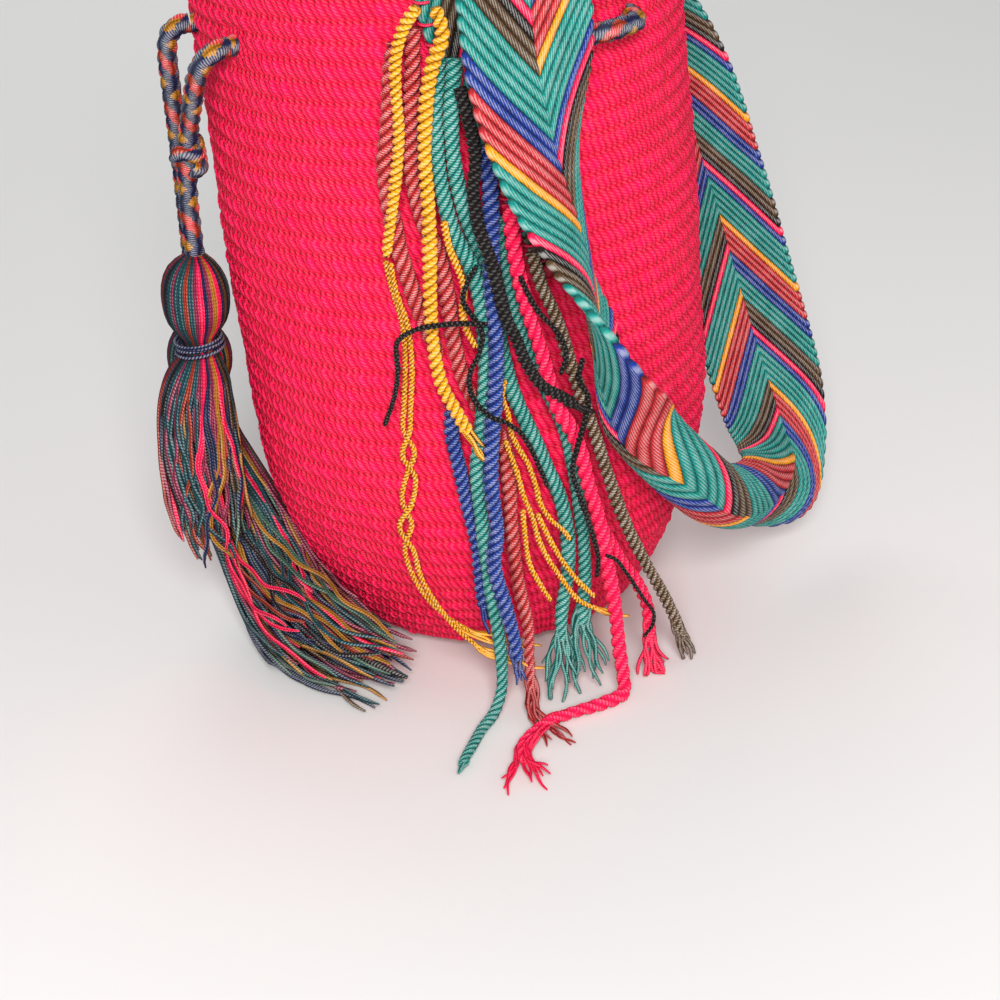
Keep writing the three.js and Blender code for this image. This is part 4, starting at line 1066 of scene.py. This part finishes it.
def outlineTable(look):  # radius, height and the outward direction along the wall's outline from the middle
    middle = [(radius, 0, 0) for radius in (0, 0.012, 0.024)]
    line = smoothLine(middle + [(radius, height, 0) for radius, height in look["outline"]])
    line[:, 1] = np.maximum(line[:, 1], 0)
    line = evenly(line, 0.0005)
    direction = unit(np.gradient(line, axis=0))
    return line[:, :2], np.stack([direction[:, 1], -direction[:, 0]], axis=1)


def crochetRows(look, outline, along):
    starts = [0.0]
    low, high, wide = look["wideRow"]
    while starts[-1] < along[-1] - 0.6 * look["rowPitch"]:
        height = np.interp(starts[-1], along, outline[:, 1])
        starts.append(starts[-1] + (wide if low < height < high else look["rowPitch"]))
    return np.array(starts) * along[-1] / starts[-1]


def bagMesh(look):
    chance = np.random.RandomState(7)
    outline, outward = outlineTable(look)
    along = lengthsAlong(np.hstack([outline, np.zeros((len(outline), 1))]))
    starts = crochetRows(look, outline, along)
    rows, perRow = len(starts) - 1, look["perRow"]
    around = look["stitches"] * look["perStitch"]
    rowOf = np.repeat(np.arange(rows), perRow)
    within = np.tile(np.arange(perRow) / perRow, rows)
    distance = starts[rowOf] + within * (starts[rowOf + 1] - starts[rowOf])
    rowOf, within = np.append(rowOf[1:], rows - 1), np.append(within[1:], 1.0)
    distance = np.append(distance[1:], along[-1])
    radius = np.interp(distance, along, outline[:, 0])
    height = np.interp(distance, along, outline[:, 1])
    aside = np.interp(distance, along, outward[:, 0])
    above = np.interp(distance, along, outward[:, 1])
    shift = chance.randint(0, 4, rows) / 4
    column = np.arange(around)
    stitch = column[None, :] / look["perStitch"] + shift[rowOf][:, None] + look["lean"] * within[:, None]
    puff = chance.uniform(0.72, 1.14, (rows, look["stitches"]))
    size = puff[rowOf[:, None], np.floor(stitch).astype(int) % look["stitches"]]
    profile = 0.3 + 0.7 * np.abs(np.sin(math.pi * within)) ** 0.6
    wideRow = (starts[1:] - starts[:-1] > 1.2 * look["rowPitch"])[rowOf]
    gap = np.where(wideRow, 0.12, 0.62)[:, None] * np.clip((radius - 0.03) / 0.03, 0, 1)[:, None]
    # bump shapes the stitches, and through the relief attribute it also sets the painted shade in the hollows
    # between rows and stitches
    bump = profile[:, None] * (1 - gap * (1 - np.abs(np.sin(math.pi * stitch)) ** 0.8)) * size
    angle = column * turn / around
    swell = np.sin(3 * angle[None, :] + 40 * height[:, None])
    dent = np.sin(5 * angle[None, :] - 70 * height[:, None])
    drift = 0.0005 * (swell + dent - 2)
    offset = look["relief"] * (bump - 1) + drift * np.clip(height / 0.05, 0, 1)[:, None]
    for degreesRound in [drawstring["firstEnd"], drawstring["secondEnd"], *sum(drawstring["outside"], ())]:
        sideways = (angle - math.radians(degreesRound) + math.pi) % turn - math.pi
        aboveEyelets = (height - drawstring["eyeletHeight"])[:, None]
        away = np.hypot(sideways[None, :] * fringe["wallRadius"], aboveEyelets)
        dimple = np.exp(-(away / look["eyeletReach"]) ** 2)
        offset = offset - look["eyeletDepth"] * dimple
        # lower relief round each eyelet, which also paints shade into its dimple
        bump = bump * (1 - 0.8 * dimple)
    reach = radius[:, None] + aside[:, None] * offset
    level = np.maximum(height[:, None] + above[:, None] * offset, 0)
    points = np.stack([reach * np.sin(angle), -reach * np.cos(angle), level], axis=2)
    rings = len(distance)
    ring, step = (grid.ravel() for grid in np.meshgrid(np.arange(rings - 1), column, indexing="ij"))
    following = (step + 1) % around
    quads = np.stack([ring * around + step, ring * around + following, (ring + 1) * around + following,
                      (ring + 1) * around + step], axis=1)
    lowShare, highShare = within[ring] % 1.0, np.where(within[ring + 1] == 0, 1.0, within[ring + 1])
    across = step / look["perStitch"] + shift[rowOf[ring + 1]]
    strand = 2 * across
    strandNext = 2 * (across + 1 / look["perStitch"])
    slant = 1.3
    length = look["rowPitch"] / mm
    surfaceMap = np.stack([strand + slant * lowShare, lowShare * length,
                           strandNext + slant * lowShare, lowShare * length,
                           strandNext + slant * highShare, highShare * length,
                           strand + slant * highShare, highShare * length], axis=1).reshape(-1, 2)
    return points, bump, quads, surfaceMap, (radius, height, aside, above)


def bagInside(look, ringTable, start):
    # the inner wall: fewer columns, following the outside at the wall's thickness, down to the base
    radius, height, aside, above = ringTable
    top, lipDepth = len(radius) - 1, 0.0035
    chosen = [ring for ring in range(top, 2, -1) if (top - ring) % 3 == 2]
    chosen = [ring for ring in chosen if height[ring] < height.max() - lipDepth]
    inner = radius[chosen] - look["wall"] * aside[chosen]
    low = height[chosen] - look["wall"] * above[chosen]
    count = look["stitches"]
    angle = (np.arange(count) + 0.5) * turn / count
    wave = 0.0004 * np.sin(np.arange(len(chosen)) * 1.6)
    reach = (inner + wave)[:, None]
    points = np.stack([reach * np.sin(angle), -reach * np.cos(angle), low[:, None] + 0 * angle], axis=2)
    steps = np.meshgrid(np.arange(len(chosen) - 1), np.arange(count), indexing="ij")
    ring, step = (grid.ravel() for grid in steps)
    following = (step + 1) % count
    quads = start + np.stack([ring * count + step, ring * count + following, (ring + 1) * count + following,
                              (ring + 1) * count + step], axis=1)
    surfaceMap = np.stack([2.0 * step, ring * 4.0, 2.0 * step + 2, ring * 4.0, 2.0 * step + 2, ring * 4.0 + 4,
                           2.0 * step, ring * 4.0 + 4], axis=1).reshape(-1, 2)
    return points.reshape(-1, 3), quads, surfaceMap, len(chosen)


def closedBag(look):
    points, bump, quads, surfaceMap, ringTable = bagMesh(look)
    rings, around, _ = points.shape
    perStitch, count = look["perStitch"], look["stitches"]
    start = rings * around
    insidePoints, insideQuads, insideMap, insideRings = bagInside(look, ringTable, start)
    rim = (rings - 1) * around
    lip = []
    for stitch in range(count):
        outer = [rim + (stitch * perStitch + step) % around for step in range(perStitch + 1)]
        here, before = start + stitch, start + (stitch - 1) % count
        lip.append((before, outer[0], here))
        lip += [(outer[step], outer[step + 1], here) for step in range(perStitch)]
    last = start + (insideRings - 1) * count
    flat = np.vstack([points.reshape(-1, 3), insidePoints, [(0, 0, 0)],
                      [(0, 0, insidePoints[-1][2])]])
    under, within = len(flat) - 2, len(flat) - 1
    base = [(under, (step + 1) % around, step) for step in range(around)]
    floor = [(within, last + step, last + (step + 1) % count) for step in range(count)]
    triangles = lip + base + floor
    faces = quads.tolist() + insideQuads.tolist() + triangles
    plain = np.full((3 * len(lip + base), 2), 0.5)
    spokes = np.array([[(2 * step + 1, 4), (2 * step, 0), (2 * step + 2, 0)] for step in range(count)])
    surfaceMap = np.vstack([surfaceMap, insideMap, plain, spokes.reshape(-1, 2)])
    # the relief that sets the painted shade; inside, lip and base get a fixed middle value
    relief = np.concatenate([bump.ravel(), np.full(len(flat) - start, 0.6)])
    return (flat, faces, surfaceMap), relief


def crochetMaterial():
    material = yarnMaterial("crochetedYarn", yarns["pink"], 0.9, 0.16, 0.05, 0.4)
    tree = material.node_tree
    spun = next(node for node in tree.nodes if node.type == "GROUP")
    relief = addNode(tree, "ShaderNodeAttribute", attribute_name="relief")
    # painted shade: the pink darkens towards the first colour where the relief is low, in the hollows between
    # stitches, and is full pink on the crowns
    recessShade, crown = (*linear((208, 2, 46)), 1), (*linear((255, 6, 82)), 1)
    share = calc(tree, "POWER", calc(tree, "MULTIPLY", relief.outputs["Fac"], 1.0, clamp=True), 1.4)
    feed(tree, spun.inputs["Base"], mixColour(tree, share, recessShade, crown))
    return material


mesh, relief = closedBag(crochet)
makePiece("crochetedBag", mesh, crochetMaterial(), ["bag_body"],
          attributes={"relief": relief})
print("bag crocheted")

# Floor and studio light

floorSize, floorDrop = 6, 0.0003
bpy.ops.mesh.primitive_plane_add(size=floorSize, location=(0, 0, -floorDrop))
floor = bpy.context.object
floor.name = "floor"
paper = bpy.data.materials.new("palePaper")
paper.use_nodes = True
paper.node_tree.nodes["Principled BSDF"].inputs["Base Color"].default_value = (0.72, 0.71, 0.69, 1)
paper.node_tree.nodes["Principled BSDF"].inputs["Roughness"].default_value = 0.85
floor.data.materials.append(paper)

lights = {
    "window": {"place": (-0.3, -1.15, 0.75), "size": 0.45, "power": 23},
    "fill": {"place": (1.2, -0.6, 0.9), "size": 1.2, "power": 2.5},
    "behind": {"place": (0.1, 1.3, 1.1), "size": 1.0, "power": 8},
}
target = Vector((0, 0, 0.11))
for name, light in lights.items():
    bpy.ops.object.light_add(type="AREA", location=light["place"])
    lamp = bpy.context.object
    lamp.name = name + "Light"
    lamp.data.size = light["size"]
    lamp.data.energy = light["power"]
    lamp.rotation_euler = (target - lamp.location).to_track_quat("-Z", "Y").to_euler()
world = bpy.data.worlds.new("paleRoom")
world.use_nodes = True
world.node_tree.nodes["Background"].inputs["Color"].default_value = (0.93, 0.95, 1, 1)
world.node_tree.nodes["Background"].inputs["Strength"].default_value = 0.38
bpy.context.scene.world = world
print("floor and lights set")
